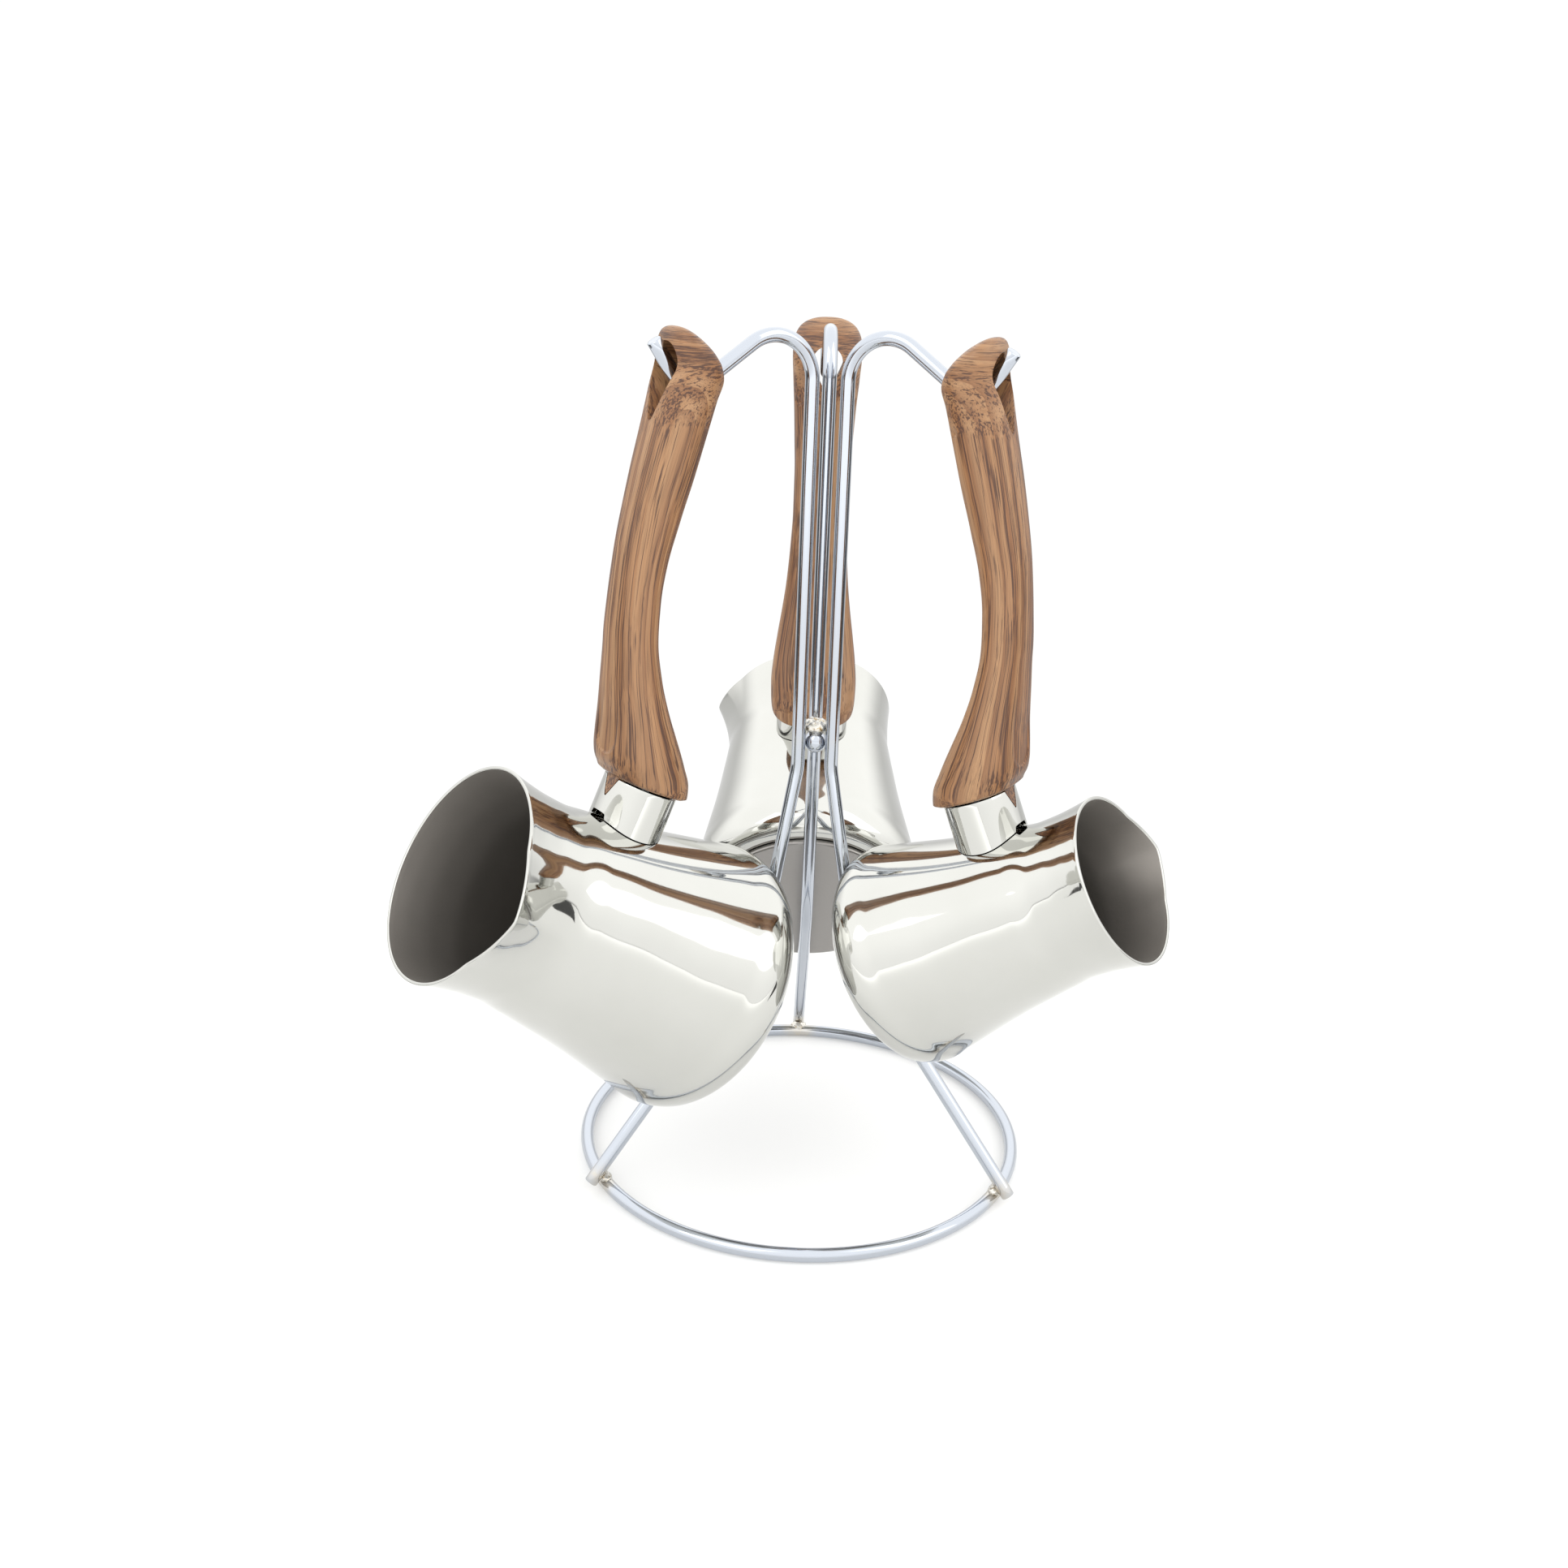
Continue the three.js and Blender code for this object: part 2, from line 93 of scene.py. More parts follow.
def finishMetal(material, look, tone, polish, height):
    # tone blends the two colours, polish spreads the roughness and height raises the relief
    tree = material.node_tree
    colour = addNode(tree, "ShaderNodeMix", {"data_type": "RGBA"}, {
        "Factor": tone, "A": toLinear(look["colours"][0]), "B": toLinear(look["colours"][1])})
    (low, high), (smooth, dull) = look["polishFrom"], look["roughness"]
    rough = addNode(tree, "ShaderNodeMapRange", inputs={
        "Value": polish, "From Min": low, "From Max": high, "To Min": smooth, "To Max": dull})
    bump = addNode(tree, "ShaderNodeBump", inputs={
        "Height": height, "Strength": look["relief"], "Distance": look["reliefMm"] * mm})
    feed(tree, tree.nodes["Principled BSDF"], {
        "Metallic": look["metallic"],
        "Base Color": colour.outputs["Result"],
        "Roughness": rough.outputs["Result"],
        "Normal": bump.outputs["Normal"],
    })
    return material


def monotoneCurve(t, y, at):
    # smooth curve through the knots that never swings past them
    h = np.diff(t)
    d = np.diff(y) / h
    m = np.zeros(len(y))
    m[0], m[-1] = d[0], d[-1]
    for i in range(1, len(y) - 1):
        if d[i - 1] * d[i] > 0:
            w1, w2 = 2 * h[i] + h[i - 1], h[i] + 2 * h[i - 1]
            m[i] = (w1 + w2) / (w1 / d[i - 1] + w2 / d[i])
    i = np.clip(np.searchsorted(t, at) - 1, 0, len(h) - 1)
    u = (at - t[i]) / h[i]
    return (
        y[i] * (1 + 2 * u) * (1 - u) ** 2
        + m[i] * h[i] * u * (1 - u) ** 2
        + y[i + 1] * u * u * (3 - 2 * u)
        + m[i + 1] * h[i] * u * u * (u - 1)
    )


def smoothLine(knots, count):
    # points on a smooth line through flat (x, y) knots
    knots = np.array(knots, float)
    t = np.concatenate([[0], np.cumsum(np.hypot(*np.diff(knots, axis=0).T))])
    at = np.linspace(0, t[-1], count)
    return np.stack([monotoneCurve(t, knots[:, k], at) for k in range(2)], axis=1)


def smoothStep(low, high, value):
    u = np.clip((value - low) / (high - low), 0, 1)
    return u * u * (3 - 2 * u)


def buildMesh(name, points, faces, faceMaterials=None, sharpAngle=38):
    mesh = bpy.data.meshes.new(name)
    mesh.from_pydata([tuple(float(c) * mm for c in p) for p in points], [], faces)
    mesh.validate()
    if faceMaterials is not None:
        mesh.polygons.foreach_set("material_index", faceMaterials)
    mesh.shade_smooth()
    mesh.set_sharp_from_angle(angle=math.radians(sharpAngle))
    mesh.update()
    return mesh


def placePiece(name, shape, materials, body, nodes, place):
    mesh = shape.copy()
    mesh.name = name
    # patterns stay on the piece, in its own upright frame
    setVector(mesh, "ownPlace", meshPoints(mesh) * mm)
    mesh.transform(place)
    for material in materials:
        mesh.materials.append(material)
    piece = bpy.data.objects.new(name, mesh)
    bpy.context.scene.collection.objects.link(piece)
    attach(piece, body)
    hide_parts(*nodes)
    return piece


def skinRings(rings, closeLoop=False, capStart=True, capEnd=True):
    # quads over rows of points; each row has the same number of points
    count = len(rings[0])
    points = [p for ring in rings for p in ring]
    faces = []
    rows = len(rings)
    for row in range(rows if closeLoop else rows - 1):
        a, b = row * count, ((row + 1) % rows) * count
        for i in range(count):
            j = (i + 1) % count
            faces.append((a + i, a + j, b + j, b + i))
    if not closeLoop and capStart:
        faces.append(tuple(reversed(range(count))))
    if not closeLoop and capEnd:
        faces.append(tuple(range((rows - 1) * count, rows * count)))
    return points, faces


def setFloat(mesh, name, values):
    attribute = mesh.attributes.new(name, "FLOAT", "POINT")
    attribute.data.foreach_set("value", np.asarray(values, np.float32))


def setVector(mesh, name, values):
    attribute = mesh.attributes.new(name, "FLOAT_VECTOR", "POINT")
    attribute.data.foreach_set("vector", np.asarray(values, np.float32).ravel())


def meshPoints(mesh):
    flat = np.zeros(len(mesh.vertices) * 3)
    mesh.vertices.foreach_get("co", flat)
    return flat.reshape(-1, 3) / mm


chromeLook = {
    "colours": ("#b9bec6", "#cdbfa4"),  # plate, oxide tint beside a weld
    "metallic": 1.0,
    "roughness": (0.045, 0.1275),
    "polishFrom": (0.3, 0.7),
    "relief": 0.5,
    "reliefMm": 0.012,
    "strawShare": 0.9,
    "stainMm": 3,
    "rippleMm": 9,
}


def brightChromePlate():
    # decorative chrome over drawn steel wire: a cold mirror with faint draw ripple, straw beside the welds
    material, tree, where = newMetal("brightChromePlateOnDrawnWire")
    tint = addNode(tree, "ShaderNodeAttribute", {"attribute_name": "heatTint"}).outputs["Fac"]
    stain = addNode(tree, "ShaderNodeTexNoise", inputs={
        "Vector": where, "Scale": 1 / (chromeLook["stainMm"] * mm), "Detail": 4.0, "Roughness": 0.6})
    patch = addNode(tree, "ShaderNodeMath", {"operation": "MULTIPLY"}, {0: tint, 1: stain.outputs["Fac"]})
    share = addNode(tree, "ShaderNodeMath", {"operation": "MULTIPLY", "use_clamp": True}, {
        0: patch.outputs["Value"], 1: chromeLook["strawShare"]})
    ripple = addNode(tree, "ShaderNodeTexNoise", inputs={
        "Vector": where, "Scale": 1 / (chromeLook["rippleMm"] * mm), "Detail": 2.0})
    return finishMetal(material, chromeLook, share.outputs["Value"], stain.outputs["Fac"], ripple.outputs["Fac"])


steelLook = {
    "colours": ("#cbcbc7", "#c1c1bc"),
    "metallic": 1.0,
    "roughness": (0.0315, 0.081),
    "polishFrom": (0.3, 0.75),
    "relief": 0.6,
    "reliefMm": 0.03,
    "cloudMm": 30,
    "spunLineMm": 0.35,
    "waveMm": 26,
}


def mirrorPolishedSteel():
    # buffed stainless: a clear mirror with slow waves from spinning and hairlines round the body
    material, tree, where = newMetal("mirrorPolishedStainless")
    around = addNode(tree, "ShaderNodeMapping", inputs={"Vector": where, "Scale": (0.02, 0.02, 1.0)})
    lines = addNode(tree, "ShaderNodeTexNoise", inputs={
        "Vector": around.outputs["Vector"], "Scale": 1 / (steelLook["spunLineMm"] * mm), "Detail": 3.0})
    cloud = addNode(tree, "ShaderNodeTexNoise", inputs={
        "Vector": where, "Scale": 1 / (steelLook["cloudMm"] * mm), "Detail": 3.0})
    wave = addNode(tree, "ShaderNodeTexNoise", inputs={
        "Vector": where, "Scale": 1 / (steelLook["waveMm"] * mm), "Detail": 1.0})
    return finishMetal(material, steelLook, cloud.outputs["Fac"], lines.outputs["Fac"], wave.outputs["Fac"])


insideLook = {
    # these two colours sit well below bare stainless: painted shade for the shadowed inside of the pot
    "colours": ("#7d7974", "#8d8882"),
    "metallic": 0.7,
    "roughness": (0.44, 0.6),
    "polishFrom": (0.0, 1.0),
    "relief": 0.25,
    "reliefMm": 0.03,
    "cloudMm": 22,
    "grainMm": 0.5,
}


def potInsideWithPaintedShade():
    # unpolished inside of a spun pot: soft and slightly grainy, its colour darkened as painted shade for the
    # shadowed inside
    material, tree, where = newMetal("satinStainlessInsideWithPaintedShade")
    grain = addNode(tree, "ShaderNodeTexNoise", inputs={
        "Vector": where, "Scale": 1 / (insideLook["grainMm"] * mm), "Detail": 2.0})
    cloud = addNode(tree, "ShaderNodeTexNoise", inputs={
        "Vector": where, "Scale": 1 / (insideLook["cloudMm"] * mm), "Detail": 2.0})
    return finishMetal(material, insideLook, cloud.outputs["Fac"], grain.outputs["Fac"], grain.outputs["Fac"])


discLook = {
    "colours": ("#a6a3a0", "#989592"),
    "metallic": 1.0,
    "roughness": (0.3, 0.44),
    "polishFrom": (0.0, 1.0),
    "relief": 0.3,
    "reliefMm": 0.02,
    "lineMm": 0.45,
}


def satinBrushedSteel():
    # encapsulated base, brushed on a lathe: fine rings that blur every reflection
    material, tree, where = newMetal("satinBrushedBaseSteel")
    parts = addNode(tree, "ShaderNodeSeparateXYZ", inputs={"Vector": where})
    flat = addNode(tree, "ShaderNodeCombineXYZ", inputs={"X": parts.outputs["X"], "Y": parts.outputs["Y"]})
    radius = addNode(tree, "ShaderNodeVectorMath", {"operation": "LENGTH"}, {0: flat.outputs["Vector"]})
    spread = addNode(tree, "ShaderNodeCombineXYZ", inputs={"X": radius.outputs["Value"]})
    rings = addNode(tree, "ShaderNodeTexNoise", inputs={
        "Vector": spread.outputs["Vector"], "Scale": 1 / (discLook["lineMm"] * mm),
        "Detail": 5.0, "Roughness": 0.7})
    rings = rings.outputs["Fac"]
    return finishMetal(material, discLook, rings, rings, rings)


weldLook = {
    "burnt": "#6a5138",
    "straw": "#b5a07c",
    "pale": "#d2cfc8",
    "roughness": (0.08, 0.4),
    "lumpMm": 1.6,
    "lumpHeightMm": 0.25,
}


def heatTintedWeld():
    # weld bead: pitted bright metal, stained straw and brown in its hollows
    material, tree, where = newMetal("heatTintedWeldBead")
    lumps = addNode(tree, "ShaderNodeTexNoise", inputs={
        "Vector": where, "Scale": 1 / (weldLook["lumpMm"] * mm), "Detail": 5.0, "Roughness": 0.65})
    colour = addNode(tree, "ShaderNodeValToRGB", inputs={"Fac": lumps.outputs["Fac"]}, stops=[
        (0.28, weldLook["burnt"]), (0.37, weldLook["straw"]), (0.47, weldLook["pale"])])
    smooth, dull = weldLook["roughness"]
    rough = addNode(tree, "ShaderNodeMapRange", inputs={
        "Value": lumps.outputs["Fac"], "To Min": dull, "To Max": smooth})
    bump = addNode(tree, "ShaderNodeBump", inputs={
        "Height": lumps.outputs["Fac"], "Strength": 0.8, "Distance": weldLook["lumpHeightMm"] * mm})
    feed(tree, tree.nodes["Principled BSDF"], {
        "Metallic": 0.9,
        "Base Color": colour.outputs["Color"],
        "Roughness": rough.outputs["Result"],
        "Normal": bump.outputs["Normal"],
    })
    return material


zincLook = {"zinc": "#aeb1b4", "roughness": (0.32, 0.52), "spangleMm": 2.5}


def zincPlatedSteel():
    # pressed steel tongue, barrel zinc plated: dull blue-grey with faint cloudiness
    material, tree, shader = newMaterial("zincPlatedSteel")
    where = addNode(tree, "ShaderNodeTexCoord").outputs["Object"]
    cloud = addNode(tree, "ShaderNodeTexNoise", inputs={
        "Vector": where, "Scale": 1 / (zincLook["spangleMm"] * mm), "Detail": 3.0})
    smooth, dull = zincLook["roughness"]
    rough = addNode(tree, "ShaderNodeMapRange", inputs={
        "Value": cloud.outputs["Fac"], "To Min": smooth, "To Max": dull})
    feed(tree, shader, {
        "Metallic": 1.0,
        "Base Color": toLinear(zincLook["zinc"]),
        "Roughness": rough.outputs["Result"],
    })
    return material


woodLook = {
    "pale": "#a17a55",
    "tan": "#8c603a",
    "brown": "#6b3f1e",
    "umber": "#432413",
    "roughness": (0.35, 0.48),  # over the pale bands, over the dark ones
    "bandMm": 4.2,     # broad early and late wood
    "ringMm": 4.173,   # growth rings, measured from corner to corner of the section
    "lineMm": 0.52,    # thin dark lines between them
    "fibreMm": 0.22,   # printed pores, drawn coarse enough to show
    "fibreHeightMm": 0.03,
    "stretch": 0.011,  # the figure is drawn out along the handle: the smaller, the longer
    "swirlMm": 19,
    "swirlPushMm": 4.0,
    "swirlStretch": 0.32,
}
diagonalBands = 2 * pi / (10 * math.sqrt(2))  # how far apart the wave node draws them at scale 1


def woodPrintBakelite(side, shift):
    # moulded bakelite under a water-transfer film: printed walnut figure, satin lacquer, no real pores
    material, tree, shader = newMaterial("woodPrintBakelite_" + side)
    push = woodLook["swirlPushMm"] * mm
    grain = addNode(tree, "ShaderNodeAttribute", {"attribute_name": "grainAlong"}).outputs["Vector"]
    moved = addNode(tree, "ShaderNodeVectorMath", {"operation": "ADD"}, {0: grain, 1: shift})
    slow = addNode(tree, "ShaderNodeMapping", inputs={
        "Vector": moved.outputs["Vector"], "Scale": (1.0, 1.0, woodLook["swirlStretch"])})
    swirl = addNode(tree, "ShaderNodeTexNoise", inputs={
        "Vector": slow.outputs["Vector"], "Scale": 1 / (woodLook["swirlMm"] * mm), "Detail": 1.5})
    centred = addNode(tree, "ShaderNodeVectorMath", {"operation": "SUBTRACT"}, {
        0: swirl.outputs["Color"], 1: (0.5, 0.5, 0.5)})
    bend = addNode(tree, "ShaderNodeVectorMath", {"operation": "MULTIPLY"}, {
        0: centred.outputs["Vector"], 1: (push, push, push)})
    wavy = addNode(tree, "ShaderNodeVectorMath", {"operation": "ADD"}, {
        0: moved.outputs["Vector"], 1: bend.outputs["Vector"]})
    drawn = addNode(tree, "ShaderNodeMapping", inputs={
        "Vector": wavy.outputs["Vector"], "Scale": (1.0, 1.0, woodLook["stretch"])}).outputs["Vector"]
    bands = addNode(tree, "ShaderNodeTexNoise", inputs={
        "Vector": drawn, "Scale": 1 / (woodLook["bandMm"] * mm), "Detail": 2.0, "Roughness": 0.5})
    rings = addNode(tree, "ShaderNodeTexWave", {
        "wave_type": "BANDS", "bands_direction": "DIAGONAL", "wave_profile": "SAW"}, {
        "Vector": drawn, "Scale": diagonalBands / (woodLook["ringMm"] * mm),
        "Distortion": 3.2, "Detail": 3.0, "Detail Scale": 0.9, "Detail Roughness": 0.55})
    lines = addNode(tree, "ShaderNodeTexNoise", inputs={
        "Vector": drawn, "Scale": 1 / (woodLook["lineMm"] * mm), "Detail": 3.0, "Roughness": 0.6})
    fibre = addNode(tree, "ShaderNodeTexNoise", inputs={
        "Vector": drawn, "Scale": 1 / (woodLook["fibreMm"] * mm), "Detail": 1.0, "Roughness": 0.6})
    ground = addNode(tree, "ShaderNodeValToRGB", inputs={"Fac": bands.outputs["Fac"]}, stops=[
        (0.24, woodLook["brown"]), (0.38, woodLook["tan"]), (0.64, woodLook["pale"])])
    ringShare = addNode(tree, "ShaderNodeMapRange", inputs={
        "Value": rings.outputs["Fac"], "From Min": 0.0, "From Max": 0.6, "To Min": 0.62, "To Max": 0.0})
    ringed = addNode(tree, "ShaderNodeMix", {"data_type": "RGBA"}, {
        "Factor": ringShare.outputs["Result"],
        "A": ground.outputs["Color"], "B": toLinear(woodLook["brown"])})
    # dark lines gather where the broad bands are dark
    deep = addNode(tree, "ShaderNodeMapRange", inputs={
        "Value": bands.outputs["Fac"], "From Min": 0.36, "From Max": 0.62, "To Min": 0.55, "To Max": 0.43})
    past = addNode(tree, "ShaderNodeMath", {"operation": "SUBTRACT"}, {
        0: deep.outputs["Result"], 1: lines.outputs["Fac"]})
    lineShare = addNode(tree, "ShaderNodeMapRange", inputs={
        "Value": past.outputs["Value"], "From Min": 0.0, "From Max": 0.07, "To Min": 0.0, "To Max": 0.9})
    lined = addNode(tree, "ShaderNodeMix", {"data_type": "RGBA"}, {
        "Factor": lineShare.outputs["Result"],
        "A": ringed.outputs["Result"], "B": toLinear(woodLook["umber"])})
    fibreShade = addNode(tree, "ShaderNodeMapRange", inputs={
        "Value": fibre.outputs["Fac"], "From Min": 0.32, "From Max": 0.62, "To Min": 0.8, "To Max": 1.1})
    mixed = addNode(tree, "ShaderNodeMix", {"data_type": "RGBA", "blend_type": "MULTIPLY"}, {
        "Factor": 1.0, "A": lined.outputs["Result"], "B": fibreShade.outputs["Result"]})
    bump = addNode(tree, "ShaderNodeBump", inputs={
        "Height": fibre.outputs["Fac"], "Strength": 0.2, "Distance": woodLook["fibreHeightMm"] * mm})
    smooth, dull = woodLook["roughness"]
    rough = addNode(tree, "ShaderNodeMapRange", inputs={
        "Value": bands.outputs["Fac"], "To Min": dull, "To Max": smooth})
    feed(tree, shader, {
        "IOR": 1.56,
        "Base Color": mixed.outputs["Result"],
        "Roughness": rough.outputs["Result"],
        "Normal": bump.outputs["Normal"],
    })
    return material


print("mug tree: mixing materials")
chrome = brightChromePlate()
polished = mirrorPolishedSteel()
inside = potInsideWithPaintedShade()
satin = satinBrushedSteel()
weld = heatTintedWeld()
zinc = zincPlatedSteel()


stand = {
    "wireRadius": 2.5,
    "ringRadius": 84,
    "ringSteps": 300,
    "wireSides": 32,
    "azimuths": {"left": 210, "right": 330, "rear": 90},
    # distance from the axis, height, bend radius
    "corners": [(90.1, 3.8, 0), (20.5, 86.2, 42), (7.0, 156, 30), (7.0, 322.6, 15),
                (54.7, 289.9, 7), (66.5, 307.6, 0)],
    "bendStep": 3,  # degrees
    "straightStep": 4,
    "cutChamfer": 0.3,
    "cutDish": [(0.8, 0.03), (0.35, 0.1), (0.06, 0.12)],  # share of the radius, depth
    "footWeldAt": (85.9, 4.5),
    "waistWeldAt": (7.0, 168),
    "ringWeldHeight": 4,
    # the straw tint fades between these distances from a weld
    "rodTint": (3.5, 8),
    "ringTint": (4, 10.4),
    "waistTintLess": 4,  # and reaches this much less far from the waist
}


def atAzimuth(azimuth):
    return Matrix.Translation((standAxis.x, standAxis.y, 0)) @ Matrix.Rotation(math.radians(azimuth), 4, "Z")


def bentLine(corners):
    flat = [np.array(c[:2], float) for c in corners]
    line = [flat[0]]
    for i in range(1, len(corners) - 1):
        back = (flat[i - 1] - flat[i]) / np.linalg.norm(flat[i - 1] - flat[i])
        onward = (flat[i + 1] - flat[i]) / np.linalg.norm(flat[i + 1] - flat[i])
        half = math.acos(np.clip(back @ onward, -1, 1)) / 2
        bend = corners[i][2]
        middle = (back + onward) / np.linalg.norm(back + onward)
        centre = flat[i] + middle * bend / math.sin(half)
        start = flat[i] + back * bend / math.tan(half) - centre
        end = flat[i] + onward * bend / math.tan(half) - centre
        sweep = pi - 2 * half
        steps = max(3, math.ceil(math.degrees(sweep) / stand["bendStep"]))
        for step in range(steps + 1):
            u = step / steps
            # turning one arm onto the other, a slice at a time
            arm = (math.sin((1 - u) * sweep) * start + math.sin(u * sweep) * end) / math.sin(sweep)
            line.append(centre + arm)
    line.append(flat[-1])
    fine = [line[0]]
    for a, b in zip(line, line[1:]):
        pieces = max(1, math.ceil(np.linalg.norm(b - a) / stand["straightStep"]))
        fine += [a + (b - a) * k / pieces for k in range(1, pieces + 1)]
    return np.array(fine)


def wireTube(centres, across, radii, sides):
    # round tube whose centre line lies in one plane; across is that plane's normal
    tangents = np.gradient(centres, axis=0)
    tangents /= np.linalg.norm(tangents, axis=1)[:, None]
    rings = []
    for centre, along, radius in zip(centres, tangents, radii):
        up = np.cross(across, along)
        angles = np.arange(sides) * 2 * pi / sides
        rings.append([centre + radius * (math.cos(a) * up - math.sin(a) * across) for a in angles])
    return rings


def dished(ring, inward):
    centre = np.mean(ring, axis=0)
    return [[centre + (p - centre) * share + inward * depth for p in ring]
            for share, depth in stand["cutDish"]]


def rodMesh():
    line = bentLine(stand["corners"])
    radius, chamfer = stand["wireRadius"], stand["cutChamfer"]
    centres = np.stack([line[:, 0], np.zeros(len(line)), line[:, 1]], axis=1)
    # sheared ends: a small chamfer, then a shallow dish
    first = (centres[1] - centres[0]) / np.linalg.norm(centres[1] - centres[0])
    last = (centres[-1] - centres[-2]) / np.linalg.norm(centres[-1] - centres[-2])
    head = [centres[0], centres[0] + first * chamfer]
    tail = [centres[-1] - last * chamfer, centres[-1]]
    body = centres[1:-1]
    radii = [radius - chamfer, radius] + [radius] * len(body) + [radius, radius - chamfer]
    rings = wireTube(np.array([*head, *body, *tail]), np.array([0.0, 1.0, 0.0]), radii, stand["wireSides"])
    rings = [*reversed(dished(rings[0], first)), *rings, *dished(rings[-1], -last)]
    points, faces = skinRings(rings)
    mesh = buildMesh("bentRod", points, faces, sharpAngle=50)
    spots = meshPoints(mesh)
    foot, waist = (np.array([out, 0, up]) for out, up in (stand["footWeldAt"], stand["waistWeldAt"]))
    fromFoot = np.linalg.norm(spots - foot, axis=1)
    fromWaist = np.linalg.norm(spots - waist, axis=1) + stand["waistTintLess"]
    setFloat(mesh, "heatTint", 1 - smoothStep(*stand["rodTint"], np.minimum(fromFoot, fromWaist)))
    return mesh


def ringMesh():
    rings = []
    radius, sides = stand["wireRadius"], stand["wireSides"]
    for step in range(stand["ringSteps"]):
        turn = 2 * pi * step / stand["ringSteps"]
        out = np.array([math.cos(turn), math.sin(turn), 0])
        up = np.array([0, 0, 1])
        rings.append([
            out * (stand["ringRadius"] + radius * math.cos(a)) + up * (radius + radius * math.sin(a))
            for a in np.arange(sides) * 2 * pi / sides])
    points, faces = skinRings(rings, closeLoop=True)
    faces = [tuple(reversed(f)) for f in faces]
    mesh = buildMesh("baseRing", points, faces)
    spots = meshPoints(mesh)
    reach, height = stand["footWeldAt"][0], stand["ringWeldHeight"]
    turns = [math.radians(azimuth) for azimuth in stand["azimuths"].values()]
    feet = [np.array([reach * math.cos(a), reach * math.sin(a), height]) for a in turns]
    near = np.min([np.linalg.norm(spots - foot, axis=1) for foot in feet], axis=0)
    setFloat(mesh, "heatTint", 1 - smoothStep(*stand["ringTint"], near))
    return mesh


beads = {
    "foot": {"size": (2.4, 3.5, 1.9), "centre": (84.3, 0, 4.6), "lump": 0.22},
    "waistBall": {"size": (4.2, 4.2, 4.3), "centre": (0, 0, 165), "lump": 0.03},
    "waistBead": {"size": (4.0, 4.0, 3.2), "centre": (0, 0, 171), "lump": 0.22},
    "rows": 26,
    "sides": 36,
    "broadNoise": 1.9,
    "fineNoise": 5.5,
    "fineShare": 0.4,
}


def lumpyBead(name, bead, seed):
    # weld metal: a puddled blob, pitted by noise
    rows, sides, lump = beads["rows"], beads["sides"], bead["lump"]
    rings = []
    for row in range(1, rows):
        polar = pi * row / rows
        ring = []
        for side in range(sides):
            turn = 2 * pi * side / sides
            flat = math.sin(polar)
            way = Vector((flat * math.cos(turn), flat * math.sin(turn), -math.cos(polar)))
            swell = 1 + lump * noise.noise(way * beads["broadNoise"] + Vector((seed, 0, 0)))
            swell += lump * beads["fineShare"] * noise.noise(way * beads["fineNoise"])
            ring.append(tuple(bead["centre"][k] + way[k] * bead["size"][k] * swell for k in range(3)))
        rings.append(ring)
    points, faces = skinRings(rings)
    return buildMesh(name, points, faces, sharpAngle=80)


print("mug tree: bending the rods and rolling the ring")
upright = atAzimuth(0)
placePiece("base_ring_wire", ringMesh(), [chrome], "stand", ["base_ring"], upright)
rod = rodMesh()
for count, (side, azimuth) in enumerate(stand["azimuths"].items()):
    turned = atAzimuth(azimuth)
    placePiece("bent_rod_" + side, rod, [chrome], "stand", ["rod_" + side], turned)
    bead = lumpyBead("footBead_" + side, beads["foot"], 3.0 * count)
    placePiece("foot_bead_" + side, bead, [weld], "stand", ["foot_weld_" + side], turned)
ball = lumpyBead("waistBall", beads["waistBall"], 11.0)
placePiece("waist_spacer_ball", ball, [chrome], "stand", ["waist_ball"], upright)
cap = lumpyBead("waistBead", beads["waistBead"], 7.0)
placePiece("waist_weld_bead", cap, [weld], "stand", ["waist_weld"], upright)


hang = (52, 296)  # distance from the axis and height of the point each handle hangs from

# base is the middle of the pot's base: distance from the axis, height
# tilt is how far the pot's axis rises from level, twist turns it about the hook, lean tips the handle
pots = {
    "left": {
        "azimuth": 210, "twist": 4, "lean": 1, "base": (40.35, 75.1), "tilt": 32.7,
        "length": 118, "widest": 50, "neck": 35.9, "mouth": 38.4, "lip": 7.6,
        "grainShift": (0.013, 0.021, 0.0)},
    "right": {
        "azimuth": 330, "twist": 0, "lean": -1, "base": (34.95, 86.0), "tilt": 31.6,
        "length": 100.5, "widest": 41, "neck": 28.1, "mouth": 29.9, "lip": 6.4,
        "grainShift": (0.341, 0.118, 0.35)},
    "rear": {
        "azimuth": 90, "twist": 0, "lean": 0, "base": (34.9, 86.4), "tilt": 29.5,
        "length": 107, "widest": 45.5, "neck": 34.4, "mouth": 35.6, "lip": 4.8,
        "grainShift": (0.627, 0.412, 0.71)},
}
potShape = {
    "wall": 1.2,
    "sides": 180,
    "profileSteps": 120,
    "floorHeight": 2.7,
    "innerFoot": 2.4,  # the inside's rounded corner starts this far above the floor's underside
    "rimFillet": 0.35,
    "rimSteps": 6,
    # share of the widest radius, share of the length
    "corner": [(0.812, 0.0235), (0.905, 0.034), (0.958, 0.055), (0.988, 0.082), (1, 0.118)],
    # share of the way out from neck to widest, share of the length
    "taper": [(0.86, 0.2), (0.68, 0.3), (0.5, 0.4), (0.345, 0.5), (0.215, 0.6), (0.09, 0.7), (0, 0.79)],
    # share of the way out from neck to mouth, share of the length
    "flare": [(0.1, 0.86), (0.45, 0.93), (1, 1.0)],
    "spoutRise": 0.3,
    "spoutHalfAngle": 33,
    "spoutStart": 0.70,  # share of the length where the lip begins to swell
    "spoutPoint": 1.2,   # above 1 draws the lip to a point
    "spoutTip": 0.045,   # rounds that point
    "spoutSwell": 2.2,
    "riseSwell": 3,
}


